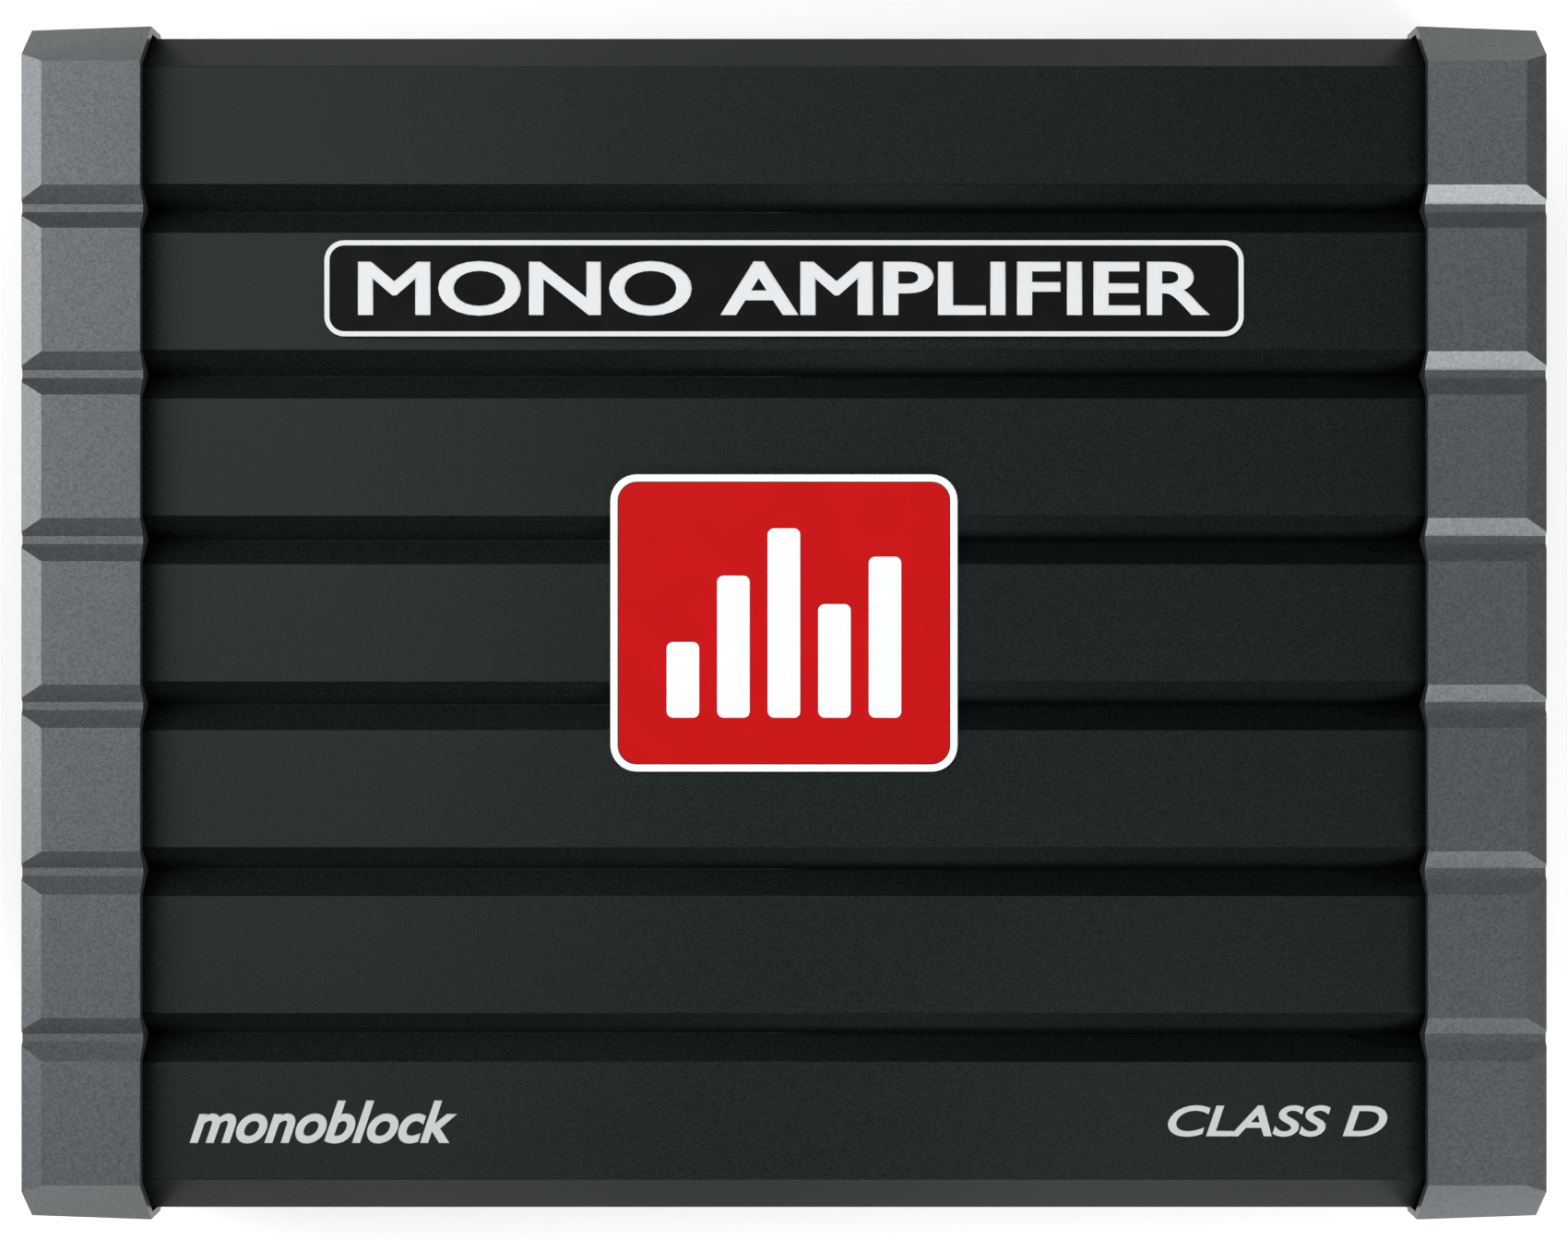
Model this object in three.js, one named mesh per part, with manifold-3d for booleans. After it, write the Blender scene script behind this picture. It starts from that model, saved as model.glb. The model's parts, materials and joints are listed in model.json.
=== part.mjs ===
// Mono-block car amplifier. Millimetres, +Z up, X along the case, Y across it.
// The origin is the centre of the base plate's underside. The signal end is at -X and the power end at +X.
import * as THREE from "three";
import { mergeVertices } from "three/addons/utils/BufferGeometryUtils.js";
import Module from "manifold-3d";

const wasm = await Module();
wasm.setup();

// ---- Driving dimensions -------------------------------------------------------------------------------------------

const FIT = 0.3; // assembly gap between touching pieces

// Case
const CASE_LENGTH = 290;
const CASE_WIDTH = 230;
const CASE_HEIGHT = 56;

// Lands and grooves run the whole length of the case, on the heatsink and on the caps alike.
const GROOVE_PITCH = 31.57;
const TOP_GROOVES = 6;
const SIDE_GROOVE_Z = 35.6;

// Heatsink shell, an aluminium extrusion open at the bottom
const SHELL = {
  halfLength: 132,
  halfWidth: 112.9,
  top: 53.3,
  bottom: 1.8,
  chamferRun: 6.95,
  chamferDrop: 7.65,
  grooveHalf: 4.57,
  grooveDepth: 5.5,
  grooveFlat: 0,
  cavityHalf: 103.5,
  cavityTop: 43.8,
  boardSlotDepth: 1.7,
};

// End caps, which overlap the shell's ends
const CAP = {
  innerEdge: 122,
  halfWidth: CASE_WIDTH / 2,
  top: CASE_HEIGHT,
  bottom: 0.4,
  chamferRun: 8.5,
  chamferDrop: 9,
  grooveHalf: 4.09,
  grooveDepth: 2.5,
  grooveFlat: 0.75,
  sideDraft: 0.8,
  endSlopeRun: 4.3,
  endSlopeDrop: 1.9,
  shadowGap: 0.8,
  lip: 2.3,
  recessHalf: 110.2,
  recessTop: 51.2,
  windowHalf: 103,
  windowTop: 43,
  windowCorner: 6,
};
const CAP_END = CASE_LENGTH / 2;
const LIP_FACE = CAP_END - CAP.lip;
const CAP_SCREW = { y: 108.5, z: 20, shank: 1.5, head: 2.8, headHeight: 1.5, tip: 122.5 };

// End panels, sheet steel across the shell's ends
const PANEL = { inner: 132.6, outer: 134.1, halfWidth: 109.8, bottom: 1.8, top: 50.8, corner: 6.5 };

// Base plate, with slotted mounting lugs under the caps
const BASE = { halfLength: 142.3, halfWidth: 109.8, thickness: 1.5, cornerRadius: 3 };
const LUG_SLOT = { x: 138.4, y: 92, width: 5.5, length: 10 };
const BASE_SCREW = { xs: [-105, -35, 35, 105], y: 107.4, hole: 1.7, pilot: 1.4, depth: 9 };

// Name plate and centre badge, on the heatsink's lands
const NAME_PLATE = { length: 175, width: 18.5, thickness: 0.8, radius: 3.9, y: 63.6 };
const BADGE = { length: 66, width: 56.5, thickness: 1.2, radius: 5 };
const PLATE_LIFT = 0.05;

// Circuit board and what stands on it
const BOARD = { halfLength: 130.5, halfWidth: 104.7, bottom: 9.2, top: 10.8 };
const ON_BOARD = BOARD.top + FIT;
const TRANSFORMER = { outer: 21, inner: 9, height: 20, at: [[62, -42], [62, 22]] };
const CHOKE = { outer: 17, inner: 8, height: 17, at: [-8, 40] };
const CAPACITOR = { radius: 9, height: 29, x: -62, ys: [-66, -44, -22, 0] };
const TRANSISTOR = { width: 10, depth: 4.5, bottom: 18, top: 33, xs: [-34, 34] };
const CLAMP_BAR = { halfLength: 52, thickness: 3, bottom: 22, top: 30, boltXs: [-46, 0, 46] };

// Signal end. Its own frame has +X pointing out of the case, so y runs the other way round.
const CONTROL_Z = 27;
const RCA = { y: -74, halfWidth: 15.5, top: 42, back: 116, columns: [-7.4, 7.4], rows: [19.2, 34], barrel: 4.15 };
const RCA_FRONT = PANEL.outer + 0.5;
const RCA_TIP = LIP_FACE + 0.6;
const KNOB = { radius: 5, spindle: 2.9, ribs: 18, ribDepth: 0.35, front: 141.6, pocket: 126 };
const CONTROLS = { level: -44, low_pass: -27, subsonic: -10, bass_boost: 7 };
const PHASE_SWITCH = { y: 25, halfWidth: 6.8, halfHeight: 5, travel: 3, slider: [3.6, 3.4], tip: 138.2 };
const REMOTE_JACK = { y: 46, halfWidth: 6.6, top: 25, z: 17.6, cavity: [9.8, 6.6], back: 118, floor: 124 };
const LEDS = { power: 66, protect: 78 };
const LED = { radius: 1.5, flange: 1.9, back: 129, tip: 136.4 };

// Power end
const POLE_FLOOR = 13.2;
const POWER_BLOCK = {
  back: 117,
  front: 142.2,
  top: 31,
  y: 5,
  wireZ: 20,
  poles: {
    battery: { y: -19, width: 17, wire: 4.6, screw: 2.8 },
    remote: { y: 0, width: 9, wire: 2.4, screw: 1.8 },
    ground: { y: 19, width: 17, wire: 4.6, screw: 2.8 },
  },
  margin: 3,
};
const SPEAKER_BLOCK = {
  back: 117,
  front: 142.2,
  top: 29,
  y: 68,
  wireZ: 19.6,
  poles: {
    positive: { y: -9.5, width: 13, wire: 3.4, screw: 2.3 },
    negative: { y: 9.5, width: 13, wire: 3.4, screw: 2.3 },
  },
  margin: 3,
};
const INSERT = { back: 120, front: 136.5, topWall: 3.4, screwX: 128.5 };
const FUSE_HOLDER = { y: -68, ys: [-14.5, 0, 14.5], halfWidth: 21.6, back: 117, front: 137, top: 38, z: 24.6 };
const FUSE = {
  thickness: 5.2,
  height: 19.1,
  back: 133.2,
  front: 143.2,
  waist: 139.4,
  bladeTip: 125,
  bladeInner: 4,
  bladeOuter: 9,
  bladeHalf: 0.35,
};
const BLADE_PLAY = 0.35;

// ---- Materials ----------------------------------------------------------------------------------------------------

const finish = (color, roughness, metalness) => new THREE.MeshStandardMaterial({ color, roughness, metalness });
const BLACK_ANODISED = finish(0x2b2f30, 0.5, 0.6);
const GREY_PAINT = finish(0x6f7377, 0.45, 0.4);
const ZINC_STEEL = finish(0xb4b6b6, 0.4, 1);
const BLACK_STEEL = finish(0x1c1e1f, 0.6, 0.2);
const RED_ENAMEL = finish(0xc8161a, 0.25, 0);
const GLOSS_BLACK = finish(0x1f2326, 0.3, 0);
const BOARD_GREEN = finish(0x1c5a33, 0.5, 0);
const BLACK_PLASTIC = finish(0x18191a, 0.5, 0);
const COPPER_WINDING = finish(0xa8562a, 0.35, 0.8);
const CAPACITOR_SLEEVE = finish(0x20222c, 0.35, 0);
const GOLD_PLATE = finish(0xd8ad5a, 0.25, 1);
const CLAMP_ALUMINIUM = finish(0xb9bbbd, 0.4, 1);
const FUSE_AMBER = finish(0xd98a1e, 0.3, 0);
const LED_BLUE = finish(0x2a5bd8, 0.2, 0);
const LED_RED = finish(0xd02626, 0.2, 0);

// ---- Solid helpers ------------------------------------------------------------------------------------------------

// A closed three.js geometry as a manifold-3d solid, for cutting and joining.
function solid(geometry) {
  const bare = geometry.clone();
  bare.deleteAttribute("normal");
  bare.deleteAttribute("uv");
  const merged = mergeVertices(bare, 1e-4);
  const vertProperties = new Float32Array(merged.attributes.position.array);
  const triVerts = new Uint32Array(merged.index.array);
  return new wasm.Manifold(new wasm.Mesh({ numProp: 3, vertProperties, triVerts }));
}

function geometryOf(manifold) {
  const mesh = manifold.getMesh();
  const positions = new THREE.BufferAttribute(new Float32Array(mesh.vertProperties), 3);
  const geometry = new THREE.BufferGeometry().setAttribute("position", positions);
  geometry.setIndex(new THREE.BufferAttribute(new Uint32Array(mesh.triVerts), 1));
  geometry.computeVertexNormals();
  return geometry;
}

// A solid box between two x, two y and two z values.
function box(x0, x1, y0, y1, z0, z1) {
  const block = new THREE.BoxGeometry(x1 - x0, y1 - y0, z1 - z0);
  return solid(block.translate((x0 + x1) / 2, (y0 + y1) / 2, (z0 + z1) / 2));
}

// A solid cylinder along X or Z, through the given point of the other two axes.
function rodX(radius, x0, x1, y, z, sides = 20) {
  const rod = new THREE.CylinderGeometry(radius, radius, x1 - x0, sides).rotateZ(Math.PI / 2);
  return solid(rod.translate((x0 + x1) / 2, y, z));
}
function rodZ(radius, z0, z1, x, y, sides = 20) {
  const rod = new THREE.CylinderGeometry(radius, radius, z1 - z0, sides).rotateX(Math.PI / 2);
  return solid(rod.translate(x, y, (z0 + z1) / 2));
}

// An outline in (y, z) run along X from x0 to x1.
const ALONG_X = new THREE.Matrix4().makeBasis(
  new THREE.Vector3(0, 1, 0),
  new THREE.Vector3(0, 0, 1),
  new THREE.Vector3(1, 0, 0),
);
function extrusionX(outline, x0, x1) {
  const run = new THREE.ExtrudeGeometry(new THREE.Shape(outline), { depth: x1 - x0, bevelEnabled: false });
  return run.applyMatrix4(ALONG_X).translate(x0, 0, 0);
}

const point = (y, z) => new THREE.Vector2(y, z);

// A rectangle in plan with round corners, from z0 to z1.
function roundedPlate(length, width, radius, z0, z1) {
  const [a, b, r] = [length / 2, width / 2, radius];
  const outline = new THREE.Shape();
  outline.moveTo(-a + r, -b).lineTo(a - r, -b).absarc(a - r, -b + r, r, -Math.PI / 2, 0);
  outline.lineTo(a, b - r).absarc(a - r, b - r, r, 0, Math.PI / 2);
  outline.lineTo(-a + r, b).absarc(-a + r, b - r, r, Math.PI / 2, Math.PI);
  outline.lineTo(-a, -b + r).absarc(-a + r, -b + r, r, Math.PI, Math.PI * 1.5);
  const plate = new THREE.ExtrudeGeometry(outline, { depth: z1 - z0, bevelEnabled: false, curveSegments: 4 });
  return plate.translate(0, 0, z0);
}

// A closed profile turned about an axis along X that passes through (y, z).
function turnedX(profile, y, z, sides) {
  const lathe = new THREE.LatheGeometry(profile.map(([r, x]) => new THREE.Vector2(r, x)), sides);
  return solid(lathe.rotateZ(-Math.PI / 2)).translate([0, y, z]);
}

// ---- The ribbed case profile --------------------------------------------------------------------------------------

// The outside of the case in (y, z), counter-clockwise: up the +Y side, over the grooved top and down the -Y side.
function ribbedOutline(form, bottom) {
  const { halfWidth, top, chamferRun, chamferDrop, grooveHalf, grooveDepth, grooveFlat } = form;
  const floorPoints = grooveFlat > 0 ? [grooveFlat, -grooveFlat] : [0];
  const side = [
    point(halfWidth, bottom),
    point(halfWidth, SIDE_GROOVE_Z - grooveHalf),
    ...floorPoints.map((offset) => point(halfWidth - grooveDepth, SIDE_GROOVE_Z - offset)),
    point(halfWidth, SIDE_GROOVE_Z + grooveHalf),
    point(halfWidth, top - chamferDrop),
    point(halfWidth - chamferRun, top),
  ];
  const grooves = [];
  for (let n = 0; n < TOP_GROOVES; n++) {
    const centre = ((TOP_GROOVES - 1) / 2 - n) * GROOVE_PITCH;
    grooves.push(point(centre + grooveHalf, top));
    grooves.push(...floorPoints.map((offset) => point(centre + offset, top - grooveDepth)));
    grooves.push(point(centre - grooveHalf, top));
  }
  const otherSide = side.map((p) => point(-p.x, p.y)).reverse();
  return [...side, ...grooves, ...otherSide];
}

// A counter-clockwise outline moved outwards by a distance, with mitred corners.
function offsetOutline(outline, distance) {
  const count = outline.length;
  const lines = outline.map((from, i) => {
    const direction = outline[(i + 1) % count].clone().sub(from).normalize();
    const outward = new THREE.Vector2(direction.y, -direction.x);
    return { start: from.clone().addScaledVector(outward, distance), direction };
  });
  return lines.map((line, i) => {
    const before = lines[(i + count - 1) % count];
    const between = line.start.clone().sub(before.start);
    const along = between.cross(line.direction) / before.direction.cross(line.direction);
    return before.start.clone().addScaledVector(before.direction, along);
  });
}

// ---- The assembly -------------------------------------------------------------------------------------------------

const amplifier = new THREE.Group();

function add(name, shape, material, group = amplifier) {
  const geometry = shape.isBufferGeometry ? shape : geometryOf(shape);
  const mesh = new THREE.Mesh(geometry, material);
  mesh.name = name;
  group.add(mesh);
}

// ---- Case ---------------------------------------------------------------------------------------------------------

function heatsinkShell() {
  const outside = ribbedOutline(SHELL, SHELL.bottom);
  const wall = SHELL.cavityHalf;
  const slot = wall + SHELL.boardSlotDepth;
  const inside = [
    point(-wall, SHELL.bottom),
    point(-wall, BOARD.bottom - FIT),
    point(-slot, BOARD.bottom - FIT),
    point(-slot, BOARD.top + FIT),
    point(-wall, BOARD.top + FIT),
    point(-wall, SHELL.cavityTop),
  ];
  const otherInside = inside.map((p) => point(-p.x, p.y)).reverse();
  const run = extrusionX([...outside, ...inside, ...otherInside], -SHELL.halfLength, SHELL.halfLength);
  let shell = solid(run);
  for (const side of [-1, 1]) {
    for (const end of [-1, 1]) {
      const depths = [end * (CAP_SCREW.tip - 1), end * (SHELL.halfLength + 1)].sort((a, b) => a - b);
      shell = shell.subtract(rodX(CAP_SCREW.shank + 0.15, ...depths, side * CAP_SCREW.y, CAP_SCREW.z, 12));
    }
    for (const x of BASE_SCREW.xs) {
      const pilot = rodZ(BASE_SCREW.pilot, 0, BASE_SCREW.depth, x, side * BASE_SCREW.y, 10);
      shell = shell.subtract(pilot);
    }
  }
  return shell;
}

function basePlate() {
  let plate = solid(
    roundedPlate(2 * BASE.halfLength, 2 * BASE.halfWidth, BASE.cornerRadius, 0, BASE.thickness),
  );
  const slotRun = (LUG_SLOT.length - LUG_SLOT.width) / 2;
  for (const side of [-1, 1]) {
    for (const end of [-1, 1]) {
      const slot = solid(
        roundedPlate(LUG_SLOT.width, LUG_SLOT.length, LUG_SLOT.width / 2 - 0.01, -1, BASE.thickness + 1),
      );
      plate = plate.subtract(slot.translate([end * LUG_SLOT.x, side * (LUG_SLOT.y + slotRun), 0]));
    }
    for (const x of BASE_SCREW.xs) {
      plate = plate.subtract(rodZ(BASE_SCREW.hole, -1, BASE.thickness + 1, x, side * BASE_SCREW.y, 10));
    }
  }
  return plate;
}

// One end cap, at the +X end. The other is the same part turned round.
function endCap() {
  const outer = extrusionX(ribbedOutline(CAP, CAP.bottom), CAP.innerEdge, CAP_END);
  const places = outer.attributes.position;
  for (let i = 0; i < places.count; i++) {
    const share = (places.getX(i) - CAP.innerEdge) / (CAP_END - CAP.innerEdge);
    const y = places.getY(i);
    if (Math.abs(y) > CAP.halfWidth - CAP.chamferRun + 1) {
      places.setY(i, y - Math.sign(y) * CAP.sideDraft * share);
    }
  }

  const slopeStart = CAP_END - CAP.endSlopeRun;
  const slopeEnd = CAP.top - CAP.endSlopeDrop;
  const beyond = 4;
  const drop = (CAP.endSlopeDrop / CAP.endSlopeRun) * beyond;
  const wedge = new THREE.Shape([
    point(slopeStart - beyond, CAP.top + drop),
    point(CAP_END + beyond, slopeEnd - drop),
    point(CAP_END + beyond, CAP.top + drop),
  ]);
  const wedgeRun = new THREE.ExtrudeGeometry(wedge, { depth: 2 * CASE_WIDTH, bevelEnabled: false });
  wedgeRun.rotateX(Math.PI / 2).translate(0, CASE_WIDTH, 0);

  const overShell = extrusionX(
    offsetOutline(ribbedOutline(SHELL, CAP.bottom - 5), CAP.shadowGap),
    CAP.innerEdge - 1,
    SHELL.halfLength + FIT,
  );
  const recessCorner = 7;
  const recess = extrusionX(
    cornerCutOutline(CAP.recessHalf, CAP.bottom - 5, CAP.recessTop, recessCorner),
    SHELL.halfLength + FIT - 0.01,
    LIP_FACE,
  );
  const window = extrusionX(
    cornerCutOutline(CAP.windowHalf, CAP.bottom - 5, CAP.windowTop, CAP.windowCorner),
    LIP_FACE - 1,
    CAP_END + 1,
  );

  let cap = solid(outer).subtract(solid(wedgeRun));
  cap = cap.subtract(solid(overShell)).subtract(solid(recess)).subtract(solid(window));
  for (const side of [-1, 1]) {
    const at = [side * CAP_SCREW.y, CAP_SCREW.z];
    const pillar = rodX(3.4, PANEL.outer + FIT, LIP_FACE + 0.5, side * (CAP_SCREW.y - 0.5), CAP_SCREW.z, 20);
    cap = cap.add(pillar).subtract(rodX(CAP_SCREW.shank + 0.2, PANEL.outer, CAP_END + 1, ...at, 12));
    cap = cap.subtract(rodX(CAP_SCREW.head + 0.25, CAP_END - CAP_SCREW.headHeight - 0.3, CAP_END + 1, ...at));
  }
  return cap;
}

// A rectangle in (y, z) with its two upper corners cut off.
function cornerCutOutline(half, bottom, top, corner) {
  return [
    point(half, bottom),
    point(half, top - corner),
    point(half - corner, top),
    point(-half + corner, top),
    point(-half, top - corner),
    point(-half, bottom),
  ];
}

// A cross-recessed pan-head screw, seated in the +X cap on one side.
function capScrew(side) {
  const headBack = CAP_END - CAP_SCREW.headHeight - 0.1;
  const [y, z] = [side * CAP_SCREW.y, CAP_SCREW.z];
  let screw = rodX(CAP_SCREW.head, headBack, CAP_END - 0.1, y, z);
  screw = screw.add(rodX(CAP_SCREW.shank, CAP_SCREW.tip, headBack + 0.01, y, z, 12));
  const [arm, web] = [1.6, 0.4];
  const front = CAP_END - 1;
  screw = screw.subtract(box(front, CAP_END, y - arm, y + arm, z - web, z + web));
  return screw.subtract(box(front, CAP_END, y - web, y + web, z - arm, z + arm));
}

add("heatsink_shell", heatsinkShell(), BLACK_ANODISED);
add("base_plate", basePlate(), BLACK_STEEL);

const shellTop = SHELL.top + PLATE_LIFT;
const { length: plateLength, width: plateWidth, radius: plateRadius } = NAME_PLATE;
const namePlate = roundedPlate(plateLength, plateWidth, plateRadius, shellTop, shellTop + NAME_PLATE.thickness);
add("name_plate", namePlate.translate(0, NAME_PLATE.y, 0), GLOSS_BLACK);
const badge = roundedPlate(BADGE.length, BADGE.width, BADGE.radius, shellTop, shellTop + BADGE.thickness);
add("centre_badge", badge, RED_ENAMEL);

// ---- Inside -------------------------------------------------------------------------------------------------------

// A toroidal winding standing on the board.
function toroid(outer, inner, height, x, y) {
  const round = 4;
  const profile = [
    [inner, round],
    [inner + round, 0],
    [outer - round, 0],
    [outer, round],
    [outer, height - round],
    [outer - round, height],
    [inner + round, height],
    [inner, height - round],
    [inner, round],
  ].map(([r, z]) => new THREE.Vector2(r, z));
  return new THREE.LatheGeometry(profile, 20).rotateX(Math.PI / 2).translate(x, y, ON_BOARD);
}

// A power transistor on its three legs, its tab towards the side wall.
function transistor(x, side) {
  const [face, back] = [SHELL.cavityHalf - FIT, SHELL.cavityHalf - FIT - TRANSISTOR.depth];
  const across = (a, b) => (side > 0 ? [a, b] : [-b, -a]);
  const half = TRANSISTOR.width / 2;
  let body = box(x - half, x + half, ...across(back, face), TRANSISTOR.bottom, TRANSISTOR.top);
  for (const leg of [-2.54, 0, 2.54]) {
    const legFaces = across(back + 1.6, back + 2.2);
    body = body.add(box(x + leg - 0.5, x + leg + 0.5, ...legFaces, ON_BOARD, TRANSISTOR.bottom + 0.1));
  }
  return body;
}

// The bar that presses a row of transistors against the side wall.
function clampBar(side) {
  const back = SHELL.cavityHalf - 2 * FIT - TRANSISTOR.depth;
  const faces = [side * back, side * (back - CLAMP_BAR.thickness)].sort((a, b) => a - b);
  let bar = box(-CLAMP_BAR.halfLength, CLAMP_BAR.halfLength, ...faces, CLAMP_BAR.bottom, CLAMP_BAR.top);
  for (const x of CLAMP_BAR.boltXs) {
    const hole = new THREE.CylinderGeometry(1.7, 1.7, 20, 12);
    bar = bar.subtract(solid(hole.translate(x, side * back, (CLAMP_BAR.bottom + CLAMP_BAR.top) / 2)));
  }
  return bar;
}

add(
  "main_circuit_board",
  box(-BOARD.halfLength, BOARD.halfLength, -BOARD.halfWidth, BOARD.halfWidth, BOARD.bottom, BOARD.top),
  BOARD_GREEN,
);
TRANSFORMER.at.forEach(([x, y], i) => {
  const winding = toroid(TRANSFORMER.outer, TRANSFORMER.inner, TRANSFORMER.height, x, y);
  add(`power_transformer_${i + 1}`, winding, COPPER_WINDING);
});
add("output_choke", toroid(CHOKE.outer, CHOKE.inner, CHOKE.height, ...CHOKE.at), COPPER_WINDING);
CAPACITOR.ys.forEach((y, i) => {
  const can = rodZ(CAPACITOR.radius, ON_BOARD, ON_BOARD + CAPACITOR.height, CAPACITOR.x, y, 24);
  add(`supply_capacitor_${i + 1}`, can, CAPACITOR_SLEEVE);
});
for (const [label, side] of [["front", -1], ["rear", 1]]) {
  add(`transistor_clamp_${label}`, clampBar(side), CLAMP_ALUMINIUM);
  TRANSISTOR.xs.forEach((x, i) => add(`power_transistor_${label}_${i + 1}`, transistor(x, side), BLACK_PLASTIC));
}

// ---- The two ends: each group's own +X points out of the case -----------------------------------------------------

const signalEnd = new THREE.Group();
signalEnd.rotation.z = Math.PI;
const powerEnd = new THREE.Group();
amplifier.add(signalEnd, powerEnd);

const panelSheet = () =>
  solid(
    extrusionX(
      cornerCutOutline(PANEL.halfWidth, PANEL.bottom, PANEL.top, PANEL.corner),
      PANEL.inner,
      PANEL.outer,
    ),
  );
const [panelBack, panelFront] = [PANEL.inner - 1, PANEL.outer + 1];
const panelHole = (y, halfWidth, z0, z1) =>
  box(panelBack, panelFront, y - halfWidth - FIT, y + halfWidth + FIT, z0 - FIT, z1 + FIT);

for (const [end, group] of [["signal", signalEnd], ["power", powerEnd]]) {
  add(`${end}_end_cap`, endCap(), GREY_PAINT, group);
  for (const [label, side] of [["a", -1], ["b", 1]]) {
    add(`${end}_cap_screw_${label}`, capScrew(side), BLACK_STEEL, group);
  }
}

// ---- Signal end ---------------------------------------------------------------------------------------------------

function signalPanel() {
  let panel = panelSheet();
  panel = panel.subtract(panelHole(RCA.y, RCA.halfWidth, ON_BOARD, RCA.top));
  for (const y of Object.values(CONTROLS)) {
    panel = panel.subtract(rodX(KNOB.spindle + 0.5, panelBack, panelFront, y, CONTROL_Z));
  }
  const slotHalf = PHASE_SWITCH.slider[0] / 2 + PHASE_SWITCH.travel / 2;
  const [low, high] = [CONTROL_Z - PHASE_SWITCH.slider[1] / 2, CONTROL_Z + PHASE_SWITCH.slider[1] / 2];
  panel = panel.subtract(panelHole(PHASE_SWITCH.y, slotHalf, low, high));
  panel = panel.subtract(panelHole(REMOTE_JACK.y, REMOTE_JACK.halfWidth, ON_BOARD, REMOTE_JACK.top));
  for (const y of Object.values(LEDS)) {
    panel = panel.subtract(rodX(LED.radius + 0.2, panelBack, panelFront, y, CONTROL_Z, 16));
  }
  for (const side of [-1, 1]) {
    const at = [side * CAP_SCREW.y, CAP_SCREW.z];
    panel = panel.subtract(rodX(CAP_SCREW.shank + 0.3, panelBack, panelFront, ...at, 12));
  }
  return panel;
}

// A phono socket: a barrel with its centre contact bore.
function rcaSocket(y, z) {
  const [back, front] = [RCA_FRONT + FIT, RCA_TIP];
  const insulator = front - 0.8;
  return turnedX(
    [
      [0, back],
      [RCA.barrel + 0.8, back],
      [RCA.barrel + 0.8, back + 1.2],
      [RCA.barrel, back + 1.2],
      [RCA.barrel, front],
      [RCA.barrel - 0.7, front],
      [RCA.barrel - 0.7, insulator],
      [1.6, insulator],
      [1.6, back + 1.5],
      [0, back + 1.5],
    ],
    y,
    z,
    16,
  );
}

function potentiometer(y) {
  const [back, front] = [121, 131.8];
  const half = 5.4;
  let body = box(back, front, y - half, y + half, CONTROL_Z - 6, CONTROL_Z + 6);
  body = body.add(box(back, back + 3.5, y - half + 1, y + half - 1, ON_BOARD, CONTROL_Z - 5.9));
  return body.subtract(rodX(KNOB.spindle + FIT, KNOB.pocket - FIT, front + 1, y, CONTROL_Z));
}

// A knob with its spindle: ribbed grip, and a pointer line cut into the face and towards the top.
function controlKnob(y) {
  const grip = new THREE.Shape();
  const steps = KNOB.ribs * 2;
  for (let i = 0; i < steps; i++) {
    const angle = (2 * Math.PI * i) / steps;
    const radius = i % 2 ? KNOB.radius - KNOB.ribDepth : KNOB.radius;
    const [u, v] = [radius * Math.cos(angle), radius * Math.sin(angle)];
    if (i) grip.lineTo(u, v);
    else grip.moveTo(u, v);
  }
  const back = PANEL.outer + 0.6;
  const run = new THREE.ExtrudeGeometry(grip, { depth: KNOB.front - back, bevelEnabled: false });
  let knob = solid(run.applyMatrix4(ALONG_X).translate(back, 0, 0));
  knob = knob.add(rodX(KNOB.spindle, KNOB.pocket, back + 0.1, 0, 0));
  knob = knob.subtract(box(KNOB.front - 0.6, KNOB.front + 1, -0.45, 0.45, 0.8, KNOB.radius + 1));
  return knob.translate([0, y, CONTROL_Z]);
}

const sliderSlot = {
  halfWidth: PHASE_SWITCH.slider[0] / 2 + PHASE_SWITCH.travel / 2 + FIT,
  halfHeight: PHASE_SWITCH.slider[1] / 2 + FIT,
  back: 127.5,
};

function phaseSwitchBody() {
  const { y, halfWidth, halfHeight } = PHASE_SWITCH;
  const [back, front] = [122, 132];
  let body = box(back, front, y - halfWidth, y + halfWidth, CONTROL_Z - halfHeight, CONTROL_Z + halfHeight);
  body = body.add(
    box(back, back + 3.5, y - halfWidth + 1, y + halfWidth - 1, ON_BOARD, CONTROL_Z - halfHeight + 0.1),
  );
  const { halfWidth: w, halfHeight: h, back: floor } = sliderSlot;
  return body.subtract(box(floor, front + 1, y - w, y + w, CONTROL_Z - h, CONTROL_Z + h));
}

// The slider rests at the zero-degree end of its slot.
function phaseSwitchSlider() {
  const [halfWidth, halfHeight] = PHASE_SWITCH.slider.map((size) => size / 2);
  const y = PHASE_SWITCH.y - PHASE_SWITCH.travel / 2;
  const [low, high] = [CONTROL_Z - halfHeight, CONTROL_Z + halfHeight];
  return box(sliderSlot.back + FIT, PHASE_SWITCH.tip, y - halfWidth, y + halfWidth, low, high);
}

function remoteJack() {
  const { y, halfWidth, top, z, cavity, back, floor } = REMOTE_JACK;
  const front = RCA_FRONT;
  let jack = box(back, front, y - halfWidth, y + halfWidth, ON_BOARD, top);
  const [w, h] = [cavity[0] / 2, cavity[1] / 2];
  jack = jack.subtract(box(floor, front + 1, y - w, y + w, z - h, z + h));
  const keyHalf = 3.1;
  return jack.subtract(box(floor + 2, front + 1, y - keyHalf, y + keyHalf, z + h - 0.1, z + h + 2));
}

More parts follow.
